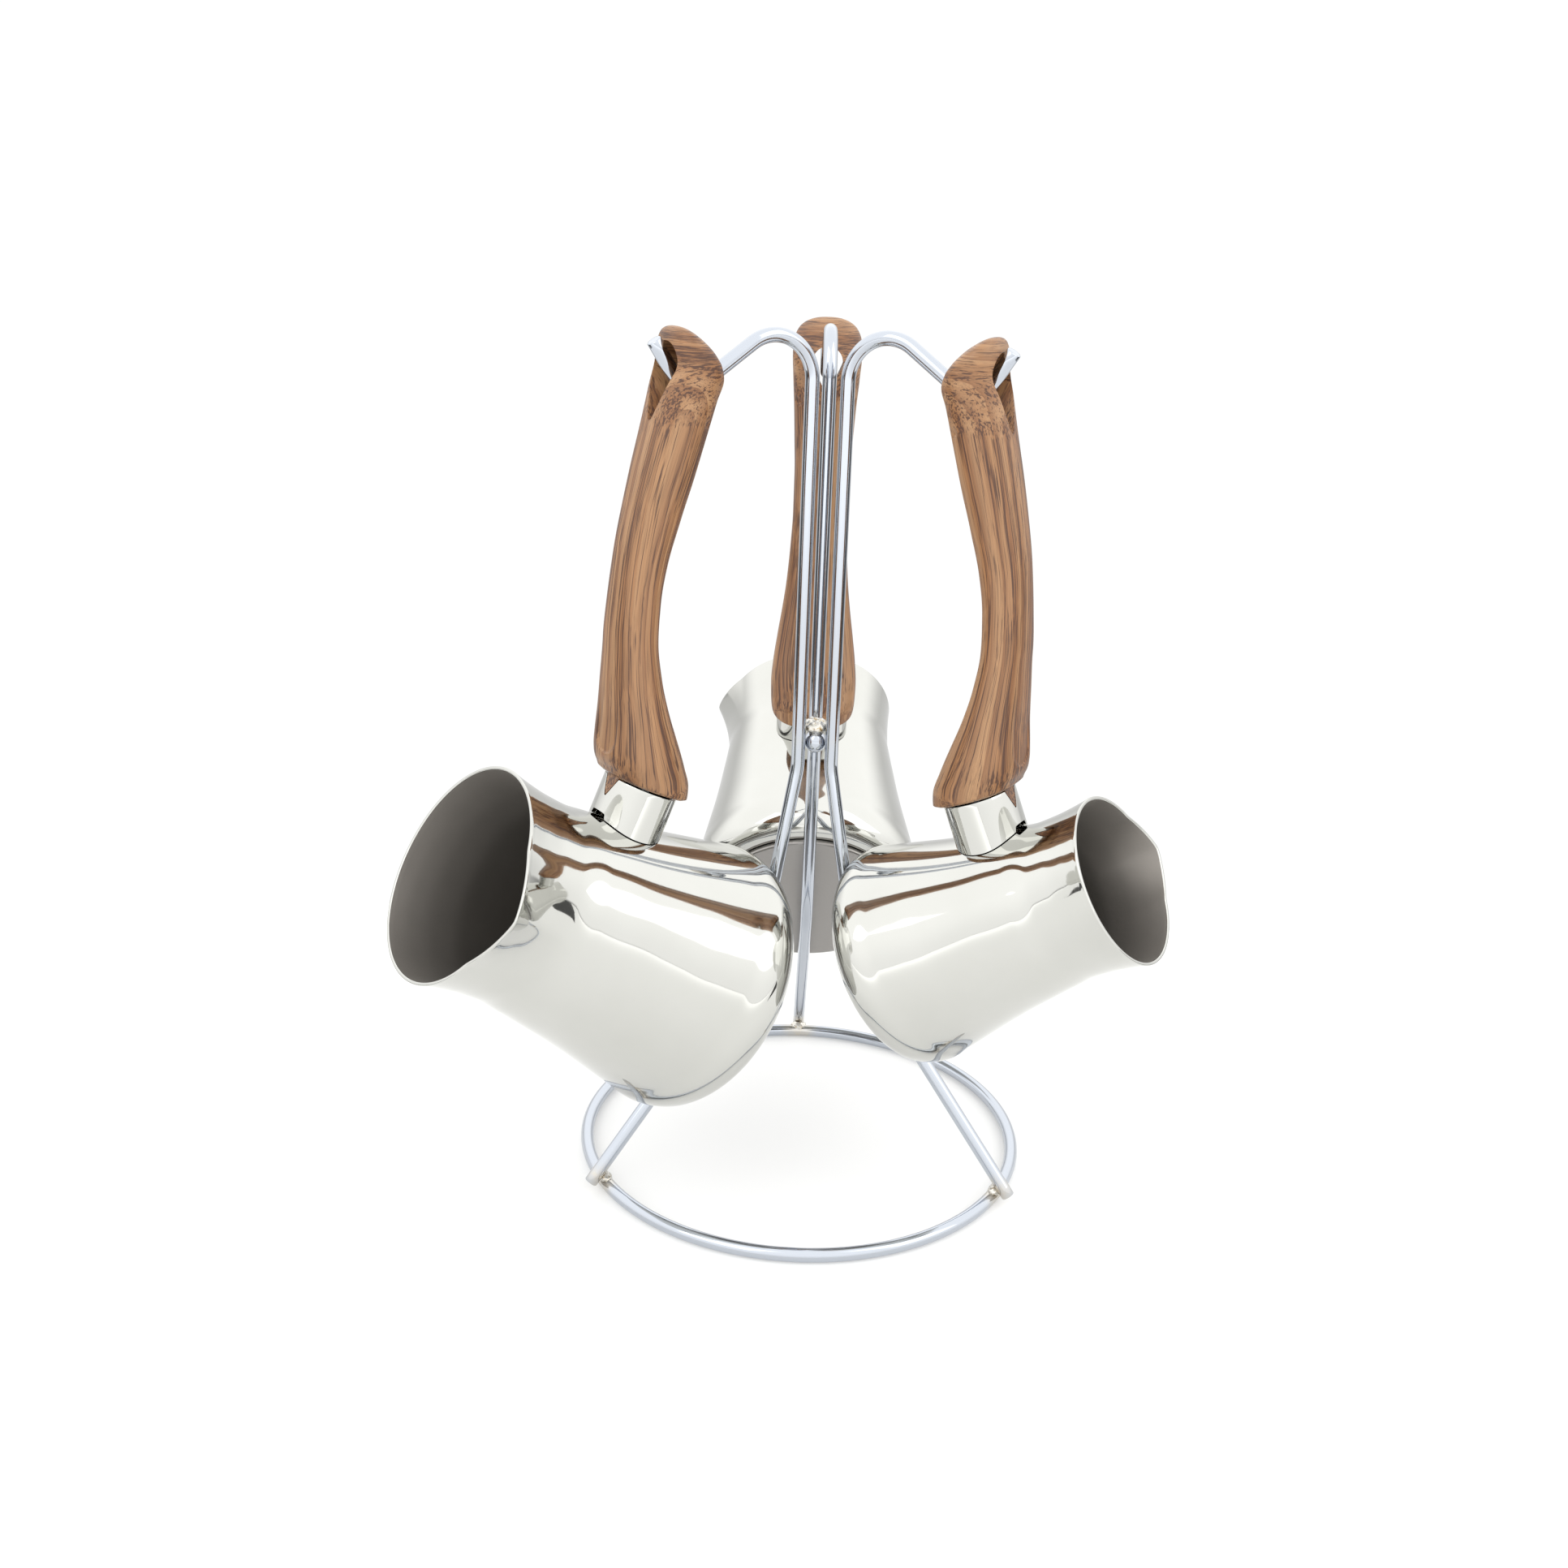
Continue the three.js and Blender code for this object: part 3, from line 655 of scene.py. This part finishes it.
def hookFrame(pot):
    a = math.radians(pot["azimuth"])
    shift = Vector((hang[0] * math.cos(a), hang[0] * math.sin(a), hang[1])) * mm
    spin = Matrix.Rotation(math.radians(pot["azimuth"] + pot["twist"]), 4, "Z")
    return Matrix.Translation((standAxis.x, standAxis.y, 0)) @ Matrix.Translation(shift) @ spin


def potFrame(pot, unit=1.0):
    move = Matrix.Translation(Vector((pot["base"][0] - hang[0], 0, pot["base"][1] - hang[1])) * unit)
    return move @ Matrix.Rotation(math.radians(90 - pot["tilt"]), 4, "Y")


def leanFrame(pot):
    return Matrix.Rotation(-math.radians(pot["lean"]), 4, "Y")


def outerProfile(pot):
    # radius and height up the outside, from the foot of the rounded base corner to the mouth
    widest, neck, mouth, length = (pot[k] for k in ("widest", "neck", "mouth", "length"))
    knots = [(share * widest, up) for share, up in potShape["corner"]]
    knots += [(neck + share * (widest - neck), up) for share, up in potShape["taper"]]
    knots += [(neck + share * (mouth - neck), up) for share, up in potShape["flare"]]
    return smoothLine([(r, up * length) for r, up in knots], potShape["profileSteps"])


def arcPoints(middle, radius, first, last, steps):
    angles = [first + (last - first) * k / steps for k in range(steps + 1)]
    return [(middle[0] + radius * math.cos(a), middle[1] + radius * math.sin(a)) for a in angles]


def pulled(point, pot):
    # draws the rim out into the pouring lip
    x, y, z = point
    out = math.hypot(x, y)
    up = (z / pot["length"] - potShape["spoutStart"]) / (1 - potShape["spoutStart"])
    off = abs(math.atan2(x, y)) / math.radians(potShape["spoutHalfAngle"])
    if out < 1 or up <= 0 or off >= 1:
        return point
    tip = potShape["spoutTip"]
    off = (math.hypot(off, tip) - tip) / (math.hypot(1, tip) - tip)
    share = (1 - off) ** potShape["spoutPoint"]
    pull = pot["lip"] * share * min(up, 1) ** potShape["spoutSwell"]
    rise = potShape["spoutRise"] * share * min(up, 1) ** potShape["riseSwell"]
    return (x + x / out * pull, y + y / out * pull, z + rise)


def potMesh(pot):
    outer = outerProfile(pot)
    wall, fillet, floor, steps = (potShape[k] for k in ("wall", "rimFillet", "floorHeight", "rimSteps"))
    mouth, length = pot["mouth"], pot["length"]
    foot = outer[0][0]
    profile = [(2, floor), (foot * 0.5, floor), (foot - 2.5, floor), (foot - 0.9, floor - 0.02)]
    profile += [tuple(p) for p in outer[:-1] if p[1] < length - fillet]
    profile += arcPoints((mouth - fillet, length - fillet), fillet, 0, pi / 2, steps)
    profile += arcPoints((mouth - wall + fillet, length - fillet), fillet, pi / 2, pi, steps)
    rim = len(profile)
    top = floor + wall
    lowest = floor + potShape["innerFoot"]
    profile += [(r - wall, max(z, top)) for r, z in reversed(outer) if lowest < z < length - fillet]
    corner = profile[-1][0]
    profile += [(corner - 1.2, top + 0.35), (corner - 3, top), (corner * 0.5, top), (2, top)]
    sides = potShape["sides"]
    turns = pi / 2 + np.arange(sides) * 2 * pi / sides
    rings = [[pulled((r * math.cos(a), r * math.sin(a), z), pot) for a in turns] for r, z in profile]
    points, faces = skinRings(rings)
    # the first material is the outside, the second the inside
    index = []
    for row in range(len(rings) - 1):
        index += [1 if row >= rim - 1 else 0] * sides
    index += [0, 1]
    return buildMesh("potShell", points, faces, index, sharpAngle=45)


disc = {
    "share": 0.8,  # of the pot's widest radius
    "high": 2.4,
    "corner": 0.9,
    "cornerSteps": 8,
    "bevel": 0.3,
}


def discMesh(pot):
    radius = pot["widest"] * disc["share"]
    high, corner, bevel = disc["high"], disc["corner"], disc["bevel"]
    # a shallow hollow inside a flat rim
    profile = [(1.5, 0.25), (radius * 0.55, 0.22), (radius - 4.2, 0.1)]
    profile += [(radius - 3.4, 0.02), (radius - 2.0, 0.0)]
    profile += arcPoints((radius - corner, corner), corner, -pi / 2, 0, disc["cornerSteps"])
    profile += [(radius, high - bevel), (radius - bevel, high), (radius * 0.5, high), (1.5, high)]
    turns = np.arange(potShape["sides"]) * 2 * pi / potShape["sides"]
    rings = [[(r * math.cos(a), r * math.sin(a), z) for a in turns] for r, z in profile]
    points, faces = skinRings(rings)
    return buildMesh("baseDisc", points, faces, sharpAngle=50)


sleeve = {
    "top": (16.6, -138.0),
    "half": 12.2,
    "wide": 14.5,
    "wall": 1.2,
    "slope": 24,
    "squareness": 2.15,
    "notchHalf": 4.2,
    "notchDeep": 7.0,
    "notchSoft": 0.16,
    "drainHalf": 4.5,
    "drainHigh": 1.7,
    "drainCorner": 0.85,
    "gap": 0.3,      # between the sleeve's foot and the pot
    "deepest": 34,   # the foot is looked for down to here, by halving
    "halvings": 30,
    "shortest": 0.4,
    "sides": 264,
    "outerRows": 16,
    "innerRows": 6,
}


def ovalPoint(angle, half, wide, squareness):
    c, s = math.cos(angle), math.sin(angle)
    power = 2 / squareness
    return (half * math.copysign(abs(c) ** power, c), wide * math.copysign(abs(s) ** power, s))


def sleeveMesh(pot):
    slope = math.radians(sleeve["slope"])
    along = Vector((math.cos(slope), 0, math.sin(slope)))
    down = Vector((math.sin(slope), 0, -math.cos(slope)))
    start = Vector((sleeve["top"][0], 0, sleeve["top"][1]))
    half, wide, wall, squareness = (sleeve[k] for k in ("half", "wide", "wall", "squareness"))
    lean = leanFrame(pot)
    toPot = potFrame(pot).inverted()
    outer = outerProfile(pot)

    def spot(reach, side, depth):
        return lean @ (start + along * reach + Vector((0, side, 0)) + down * depth)

    def depthToPot(reach, side):
        low, high = 0.0, sleeve["deepest"]
        for _ in range(sleeve["halvings"]):
            middle = (low + high) / 2
            p = toPot @ spot(reach, side, middle)
            clear = math.hypot(p.x, p.y) - np.interp(p.z, outer[:, 1], outer[:, 0]) - sleeve["gap"]
            low, high = (middle, high) if clear > 0 else (low, middle)
        return low

    def notch(reach, side):
        if reach < 0 or abs(side) >= sleeve["notchHalf"]:
            return 0.0
        soft = sleeve["notchSoft"]
        u = (math.hypot(side / sleeve["notchHalf"], soft) - soft) / (math.hypot(1, soft) - soft)
        return sleeve["notchDeep"] * (1 - u)

    def drain(reach, side):
        corner = sleeve["drainCorner"]
        rest = (abs(side) - sleeve["drainHalf"] + corner) / corner
        if reach < 0 or rest >= 1:
            return 0.0
        return sleeve["drainHigh"] * math.sqrt(1 - max(rest, 0) ** 2)

    columns = []
    for step in range(sleeve["sides"]):
        angle = 2 * pi * step / sleeve["sides"]
        a = ovalPoint(angle, half, wide, squareness)
        b = ovalPoint(angle, half - wall, wide - wall, squareness)
        top = notch(*a)
        lowOuter = max(depthToPot(*a) - drain(*a), top + sleeve["shortest"])
        lowInner = max(depthToPot(*b) - drain(*a), top + sleeve["shortest"])
        mid = ((a[0] + b[0]) / 2, (a[1] + b[1]) / 2)
        near = (a[0] * 0.97 + b[0] * 0.03, a[1] * 0.97 + b[1] * 0.03)
        # the top edge is eased, then rows run down the outside and back up the inside
        column = [spot(*mid, top), spot(*near, top + 0.06)]
        outerTop, innerTop = top + 0.28, top + 0.1
        rows = sleeve["outerRows"]
        column += [spot(*a, outerTop + (lowOuter - outerTop) * k / rows) for k in range(rows + 1)]
        rows = sleeve["innerRows"]
        column += [spot(*b, lowInner + (innerTop - lowInner) * k / rows) for k in range(rows + 1)]
        columns.append([tuple(p) for p in column])
    points, faces = skinRings(columns, closeLoop=True, capStart=False, capEnd=False)
    faces = [tuple(reversed(f)) for f in faces]
    return buildMesh("handleSleeve", points, faces, sharpAngle=40)


handle = {
    "sides": 120,
    "rows": 230,
    "crowding": 0.115,  # how strongly the rows crowd together at both ends
    "squareness": 2.5,
    # centre, height, half thickness, half width, slope of the section in degrees
    "sections": [
        (16.1, -137.4, 13.6, 15.2, 24), (16.0, -136.4, 15.3, 16.5, 24), (16.3, -132.6, 15.6, 17.0, 20),
        (17.5, -127, 14.2, 17.2, 13), (18.9, -119, 12.0, 16.6, 5), (20.2, -109, 9.7, 15.3, 1),
        (21.2, -98, 8.2, 13.7, 0), (21.6, -86, 7.3, 12.3, 2), (20.6, -72, 7.3, 11.3, 8),
        (18.4, -58, 7.9, 10.7, 13), (14.6, -43, 8.9, 10.7, 15), (10.6, -29, 9.6, 11.2, 16),
        (6.9, -16, 9.8, 11.8, 15), (3.9, -5, 10.0, 12.5, 16), (1.7, 3, 10.3, 12.9, 21),
        (1.8, 7.2, 9.9, 12.6, 27), (2.3, 10.2, 8.6, 11.4, 31), (2.8, 12.4, 6.4, 8.6, 33),
        (3.2, 13.6, 3.6, 5.0, 33), (3.3, 13.9, 1.2, 1.7, 33)],
    # distance through the head, top, bottom, half width
    "slot": [(-16, 6.1, -9.5, 5.6), (-4, 6.1, -9.5, 5.6), (3, 8.4, -10.9, 6.4), (11, 11.5, -12.5, 7.4),
             (16, 12.5, -13.6, 7.9), (21, 13.6, -14.5, 8.2)],
    "slotRings": 34,
    "slotArc": (-18, 198, 45),  # first and last angle, points
    "slotFoot": [(-1.4, 0.9), (-0.55, 0.1), (0.55, 0.1), (1.4, 0.9)],
    "sideFace": (0.55, 0.8),  # shares of the half width between which the side begins
    "outerFace": (0.2, 0.5),  # and of the half thickness, for the outer face
    "dimple": {"reach": -6.3, "height": -14.5, "long": 1.7, "short": 1.0, "deep": 0.9, "turn": 40},
    # the crease lies at this share of the half thickness at this height, and drifts outwards up the handle
    "crease": {"share": 0.32, "height": -50, "drift": 0.0042, "deep": 0.42, "wide": 1.5,
               "from": -102, "to": -1, "fadeIn": 40, "fadeOut": 12},
    "thumbPanel": {"half": 7.2, "foot": -124.5, "fadeFrom": 4, "fadeTo": 26, "deep": 0.6, "edge": 1.0},
    "lip": {"half": 3.8, "deep": 6.4, "root": 2.2, "tip": 0.3, "bow": 1.25, "layers": (2.8, 1.4, 0.35, 0.05)},
}


def handleGrid():
    sections = np.array(handle["sections"], float)
    heights = sections[:, 1]
    u = np.linspace(0, 1, handle["rows"])
    at = heights[0] + (heights[-1] - heights[0]) * (u - handle["crowding"] * np.sin(2 * pi * u))
    centre, half, wide, slope = (monotoneCurve(heights, sections[:, k], at) for k in (0, 2, 3, 4))
    angles = np.arange(handle["sides"]) * 2 * pi / handle["sides"]
    c, s = np.cos(angles), np.sin(angles)
    power = 2 / handle["squareness"]
    reach = half[:, None] * np.sign(c) * np.abs(c) ** power
    y = wide[:, None] * np.sign(s) * np.abs(s) ** power
    tilt = np.radians(slope)[:, None]
    x = centre[:, None] + np.cos(tilt) * reach
    z = at[:, None] + np.sin(tilt) * reach
    return np.stack([x, y, z], axis=2), reach, half, at


def handleRelief(grid, reach, half, at):
    # how far each point is pressed in, in millimetres
    y, z = grid[..., 1], grid[..., 2]
    sideFace = smoothStep(*handle["sideFace"], np.abs(y) / np.max(np.abs(y), axis=1, keepdims=True))
    dimple = handle["dimple"]
    turn = math.radians(dimple["turn"])
    u, v = reach - dimple["reach"], z - dimple["height"]
    a = (u * math.cos(turn) + v * math.sin(turn)) / dimple["long"]
    b = (-u * math.sin(turn) + v * math.cos(turn)) / dimple["short"]
    press = dimple["deep"] * np.exp(-((a * a + b * b) ** 2)) * sideFace
    crease = handle["crease"]
    line = half[:, None] * (crease["share"] + crease["drift"] * (at[:, None] - crease["height"]))
    window = smoothStep(crease["from"], crease["from"] + crease["fadeIn"], z)
    window *= 1 - smoothStep(crease["to"] - crease["fadeOut"], crease["to"], z)
    press += crease["deep"] * np.exp(-(((reach - line) / crease["wide"]) ** 2)) * window * sideFace
    panel = handle["thumbPanel"]
    lower = np.hypot(y, np.minimum(z - panel["foot"] - panel["half"], 0))
    within = smoothStep(0, panel["edge"], panel["half"] - lower)
    fade = 1 - smoothStep(panel["foot"] + panel["fadeFrom"], panel["foot"] + panel["fadeTo"], z)
    outerFace = smoothStep(*handle["outerFace"], reach / half[:, None])
    return press + panel["deep"] * within * fade * outerFace


def slotBlock():
    sections = np.array(handle["slot"], float)
    arc = np.radians(np.linspace(*handle["slotArc"]))
    rings = []
    for x in np.linspace(sections[0, 0], sections[-1, 0], handle["slotRings"]):
        top, bottom, half = (monotoneCurve(sections[:, 0], sections[:, k], np.array(x)) for k in (1, 2, 3))
        ring = [(x, half * math.cos(a), top - half + half * math.sin(a)) for a in arc]
        ring += [(x, side, bottom + up) for side, up in handle["slotFoot"]]
        rings.append(ring)
    points, faces = skinRings(rings)
    return buildMesh("slotBlock", points, faces)


def lipBlock():
    # pointed lip that fills the notch in the sleeve
    slope = math.radians(sleeve["slope"])
    along = np.array([math.cos(slope), 0, math.sin(slope)])
    down = np.array([math.sin(slope), 0, -math.cos(slope)])
    start = np.array([sleeve["top"][0], 0, sleeve["top"][1]])
    lip = handle["lip"]
    half, deep, tip = lip["half"], lip["deep"], lip["tip"]
    outline = [(-half * 1.3, -lip["root"]), (-half, -0.2)]
    outline += [(-half * (1 - u), deep * (1 - (1 - u) ** lip["bow"])) for u in np.linspace(0.06, 0.86, 10)]
    outline += [(-tip, deep), (tip, deep)]
    outline += [(-y, d) for y, d in reversed(outline[:-2])]
    power = sleeve["squareness"]

    def face(reach):
        rows = []
        for y, d in outline:
            curve = sleeve["half"] * (1 - (abs(y) / sleeve["wide"]) ** power) ** (1 / power)
            rows.append(tuple(start + along * (curve - reach) + np.array([0, y, 0]) + down * d))
        return rows

    points, faces = skinRings([face(reach) for reach in lip["layers"]])
    return buildMesh("lipBlock", points, faces)


def carved(mesh, tool, operation):
    scene = bpy.context.scene.collection
    block = bpy.data.objects.new("block", mesh)
    cutter = bpy.data.objects.new("cutter", tool)
    scene.objects.link(block)
    scene.objects.link(cutter)
    step = block.modifiers.new("cut", "BOOLEAN")
    step.operation = operation
    step.solver = "EXACT"
    step.object = cutter
    bpy.context.view_layer.update()
    result = bpy.data.meshes.new_from_object(block.evaluated_get(bpy.context.evaluated_depsgraph_get()))
    bpy.data.objects.remove(block)
    bpy.data.objects.remove(cutter)
    return result


grainMap = {
    "section": (9.5, 12.5),  # half thickness and half width that the print is wrapped round
    "topLevel": 8,    # further up, the handle's section is taken as it is here
    "shrink": 0.93,   # the figure narrows by this share towards the head, between the next two heights
    "shrinkFrom": -16,
    "shrinkTo": 9,
    "headMm": 13,
    "headArcs": 45,   # how strongly the figure turns across the head
}


def handleMesh():
    grid, reach, half, at = handleGrid()
    press = handleRelief(grid, reach, half, at)
    down = np.gradient(grid, axis=0)
    around = (np.roll(grid, -1, axis=1) - np.roll(grid, 1, axis=1)) / 2
    normal = np.cross(around, down)
    normal /= np.maximum(np.linalg.norm(normal, axis=2, keepdims=True), 1e-9)
    grid = grid - normal * press[..., None]
    points, faces = skinRings([list(row) for row in grid])
    solid = buildMesh("handleSolid", points, faces)
    solid = carved(solid, lipBlock(), "UNION")
    solid = carved(solid, slotBlock(), "DIFFERENCE")
    solid.name = "woodPrintHandle"
    solid.shade_smooth()
    solid.set_sharp_from_angle(angle=math.radians(42))
    spots = meshPoints(solid)
    sections = np.array(handle["sections"], float)
    level = np.clip(spots[:, 2], sections[0, 1], grainMap["topLevel"])
    middle, half, wide = (monotoneCurve(sections[:, 1], sections[:, k], level) for k in (0, 2, 3))
    narrow = 1 - grainMap["shrink"] * smoothStep(grainMap["shrinkFrom"], grainMap["shrinkTo"], spots[:, 2])
    across = (spots[:, 0] - middle) / half * grainMap["section"][0] * narrow
    aside = spots[:, 1] / wide * grainMap["section"][1] * narrow
    # lines run along the handle and turn across its head
    along = spots[:, 2] + np.maximum(spots[:, 2], 0) ** 2 / grainMap["headMm"] * grainMap["headArcs"]
    setVector(solid, "grainAlong", np.stack([across, aside, along], axis=1) * mm)
    return solid


print("mug tree: moulding the handle")
handleBase = handleMesh()
for side, pot in pots.items():
    print("mug tree: pot", side)
    body = "hung_pot_" + side
    hook = hookFrame(pot)
    onPot = hook @ potFrame(pot, mm)
    shell, plate, collar = potMesh(pot), discMesh(pot), sleeveMesh(pot)
    placePiece("pot_shell_" + side, shell, [polished, inside], body, ["pot_" + side], onPot)
    placePiece("base_plate_" + side, plate, [satin], body, ["base_disc_" + side], onPot)
    placePiece("handle_sleeve_" + side, collar, [polished], body, ["sleeve_" + side], hook)
    wood = woodPrintBakelite(side, pot["grainShift"])
    placePiece("handle_grip_" + side, handleBase, [wood], body, ["handle_" + side],
               hook @ leanFrame(pot))
    # the tongue is hidden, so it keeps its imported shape
    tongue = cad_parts["tongue_" + side]
    tongue.data.materials.clear()
    tongue.data.materials.append(zinc)


studio = {
    "floorColour": "#c9c9c8",
    "floorDrop": 0.0002,  # metres, so that the ring doesn't share the floor's plane
    # lit acrylic table: its own light keeps the shadows faint, and it is brighter far in front
    "floorGlow": 0.35,
    "floorGlowFar": 0.9,
    "glowFrom": -0.3,
    "glowTo": -1.9,
    # paper sweep, in metres: narrow under the object, wide in front of it
    "sweepHalf": 0.62,
    "sweepBack": 0.2,
    "sweepStep": -0.35,
    "sweepFront": -9.0,
    "sweepWide": 5.0,
    "skyBright": 1.62,
    "skyLow": 1.42,
    "skyBehind": 0.8,
    "behind": 0.8,    # the grey room behind the sweep tones the outlines of the metal
    "beside": 0.12,   # the unlit room beside it draws the thin dark lines on the wires
    "backdrop": 1.03,  # what the camera sees past the object
    "softboxAim": (0, 0, 0.15),
    # name, place, size in metres, watts
    "softboxes": [("keySoftbox", (-0.9, -1.0, 1.5), (1.2, 1.2), 4.0),
                  ("fillSoftbox", (1.1, -0.5, 1.2), (1.0, 1.4), 3.0)],
}
camera = {
    "place": (-13.95, -565.2, 342.3),  # from the stand's axis at floor level
    "yaw": -0.06,
    "pitch": 19.002,
    "roll": 1.906,
    "lens": 37.03,
    "sensor": 36,
    "shift": (0.0064, 0.0003),
    "clip": (0.02, 60),
}


def addFloor():
    half, step, back = studio["sweepHalf"], studio["sweepStep"], studio["sweepBack"]
    wide, front = studio["sweepWide"], studio["sweepFront"]
    near = [(-half, step, 0), (half, step, 0), (half, back, 0), (-half, back, 0)]
    far = [(-wide, front, 0), (wide, front, 0), (wide, step, 0), (-wide, step, 0)]
    mesh = bpy.data.meshes.new("studioFloor")
    mesh.from_pydata(near + far, [], [(0, 1, 2, 3), (4, 5, 6, 7)])
    floor = bpy.data.objects.new("studio_floor", mesh)
    floor.location.z = -studio["floorDrop"]
    bpy.context.scene.collection.objects.link(floor)
    material, tree, shader = newMaterial("paleStudioFloor")
    where = addNode(tree, "ShaderNodeNewGeometry").outputs["Position"]
    parts = addNode(tree, "ShaderNodeSeparateXYZ", inputs={"Vector": where})
    glow = addNode(tree, "ShaderNodeMapRange", {"interpolation_type": "SMOOTHSTEP"}, {
        "Value": parts.outputs["Y"], "From Min": studio["glowFrom"], "From Max": studio["glowTo"],
        "To Min": studio["floorGlow"], "To Max": studio["floorGlowFar"]})
    feed(tree, shader, {
        "Base Color": toLinear(studio["floorColour"]),
        "Roughness": 0.9,
        "Specular IOR Level": 0.1,
        "Emission Color": (1.0, 1.0, 1.0, 1.0),
        "Emission Strength": glow.outputs["Result"],
    })
    mesh.materials.append(material)


def addWorld():
    world = bpy.data.worlds.new("softStudio")
    bpy.context.scene.world = world
    world.use_nodes = True
    tree = world.node_tree
    tree.nodes.clear()
    way = addNode(tree, "ShaderNodeTexCoord").outputs["Generated"]
    parts = addNode(tree, "ShaderNodeSeparateXYZ", inputs={"Vector": way})
    # the sky dims towards the back and brightens upwards
    level = addNode(tree, "ShaderNodeMapRange", inputs={
        "Value": parts.outputs["Y"], "From Min": 0.3, "From Max": 0.8,
        "To Min": studio["skyLow"], "To Max": studio["skyBehind"]})
    climb = addNode(tree, "ShaderNodeMapRange", {"interpolation_type": "SMOOTHSTEP"}, {
        "Value": parts.outputs["Z"], "From Min": 0.0, "From Max": 0.45,
        "To Min": level.outputs["Result"], "To Max": studio["skyBright"]})
    # below the horizon the room is grey, and dark to the sides
    sideways = addNode(tree, "ShaderNodeMath", {"operation": "ABSOLUTE"}, {0: parts.outputs["X"]})
    room = addNode(tree, "ShaderNodeMapRange", inputs={
        "Value": sideways.outputs["Value"], "From Min": 0.8, "From Max": 0.94,
        "To Min": studio["behind"], "To Max": studio["beside"]})
    above = addNode(tree, "ShaderNodeMapRange", inputs={
        "Value": parts.outputs["Z"], "From Min": -0.03, "From Max": 0.0})
    lit = addNode(tree, "ShaderNodeMix", {"data_type": "FLOAT"}, {
        "Factor": above.outputs["Result"], "A": room.outputs["Result"], "B": climb.outputs["Result"]})
    seen = addNode(tree, "ShaderNodeLightPath").outputs["Is Camera Ray"]
    strength = addNode(tree, "ShaderNodeMix", {"data_type": "FLOAT"}, {
        "Factor": seen, "A": lit.outputs["Result"], "B": studio["backdrop"]})
    background = addNode(tree, "ShaderNodeBackground", inputs={
        "Color": (1.0, 1.0, 0.995, 1.0), "Strength": strength.outputs["Result"]})
    addNode(tree, "ShaderNodeOutputWorld", inputs={"Surface": background.outputs["Background"]})


def addSoftbox(name, place, size, power):
    light = bpy.data.lights.new(name, "AREA")
    light.shape = "RECTANGLE"
    light.size, light.size_y = size
    light.energy = power
    lamp = bpy.data.objects.new(name, light)
    lamp.location = place
    lamp.rotation_mode = "QUATERNION"
    lamp.rotation_quaternion = (Vector(studio["softboxAim"]) - Vector(place)).to_track_quat("-Z", "Y")
    lamp.visible_camera = False
    bpy.context.scene.collection.objects.link(lamp)


def addCamera():
    yaw, pitch, roll = (math.radians(camera[k]) for k in ("yaw", "pitch", "roll"))
    ahead = Vector((math.sin(yaw) * math.cos(pitch), math.cos(yaw) * math.cos(pitch), -math.sin(pitch)))
    level = Vector((math.cos(yaw), -math.sin(yaw), 0))
    up = level.cross(ahead)
    right = math.cos(roll) * level + math.sin(roll) * up
    top = -math.sin(roll) * level + math.cos(roll) * up
    data = bpy.data.cameras.new("studioCamera")
    data.sensor_width = camera["sensor"]
    data.lens = camera["lens"]
    data.shift_x, data.shift_y = camera["shift"]
    data.clip_start, data.clip_end = camera["clip"]
    data.dof.use_dof = False
    eye = bpy.data.objects.new("studio_camera", data)
    bpy.context.scene.collection.objects.link(eye)
    turn = Matrix((right, top, -ahead)).transposed().to_4x4()
    spot = Vector((standAxis.x, standAxis.y, 0)) + Vector(camera["place"]) * mm
    eye.matrix_world = Matrix.Translation(spot) @ turn
    bpy.context.scene.camera = eye


print("mug tree: lighting the set")
addFloor()
addWorld()
for name, place, size, power in studio["softboxes"]:
    addSoftbox(name, place, size, power)
addCamera()
bpy.context.scene.view_settings.view_transform = "Standard"

print("mug tree: done")
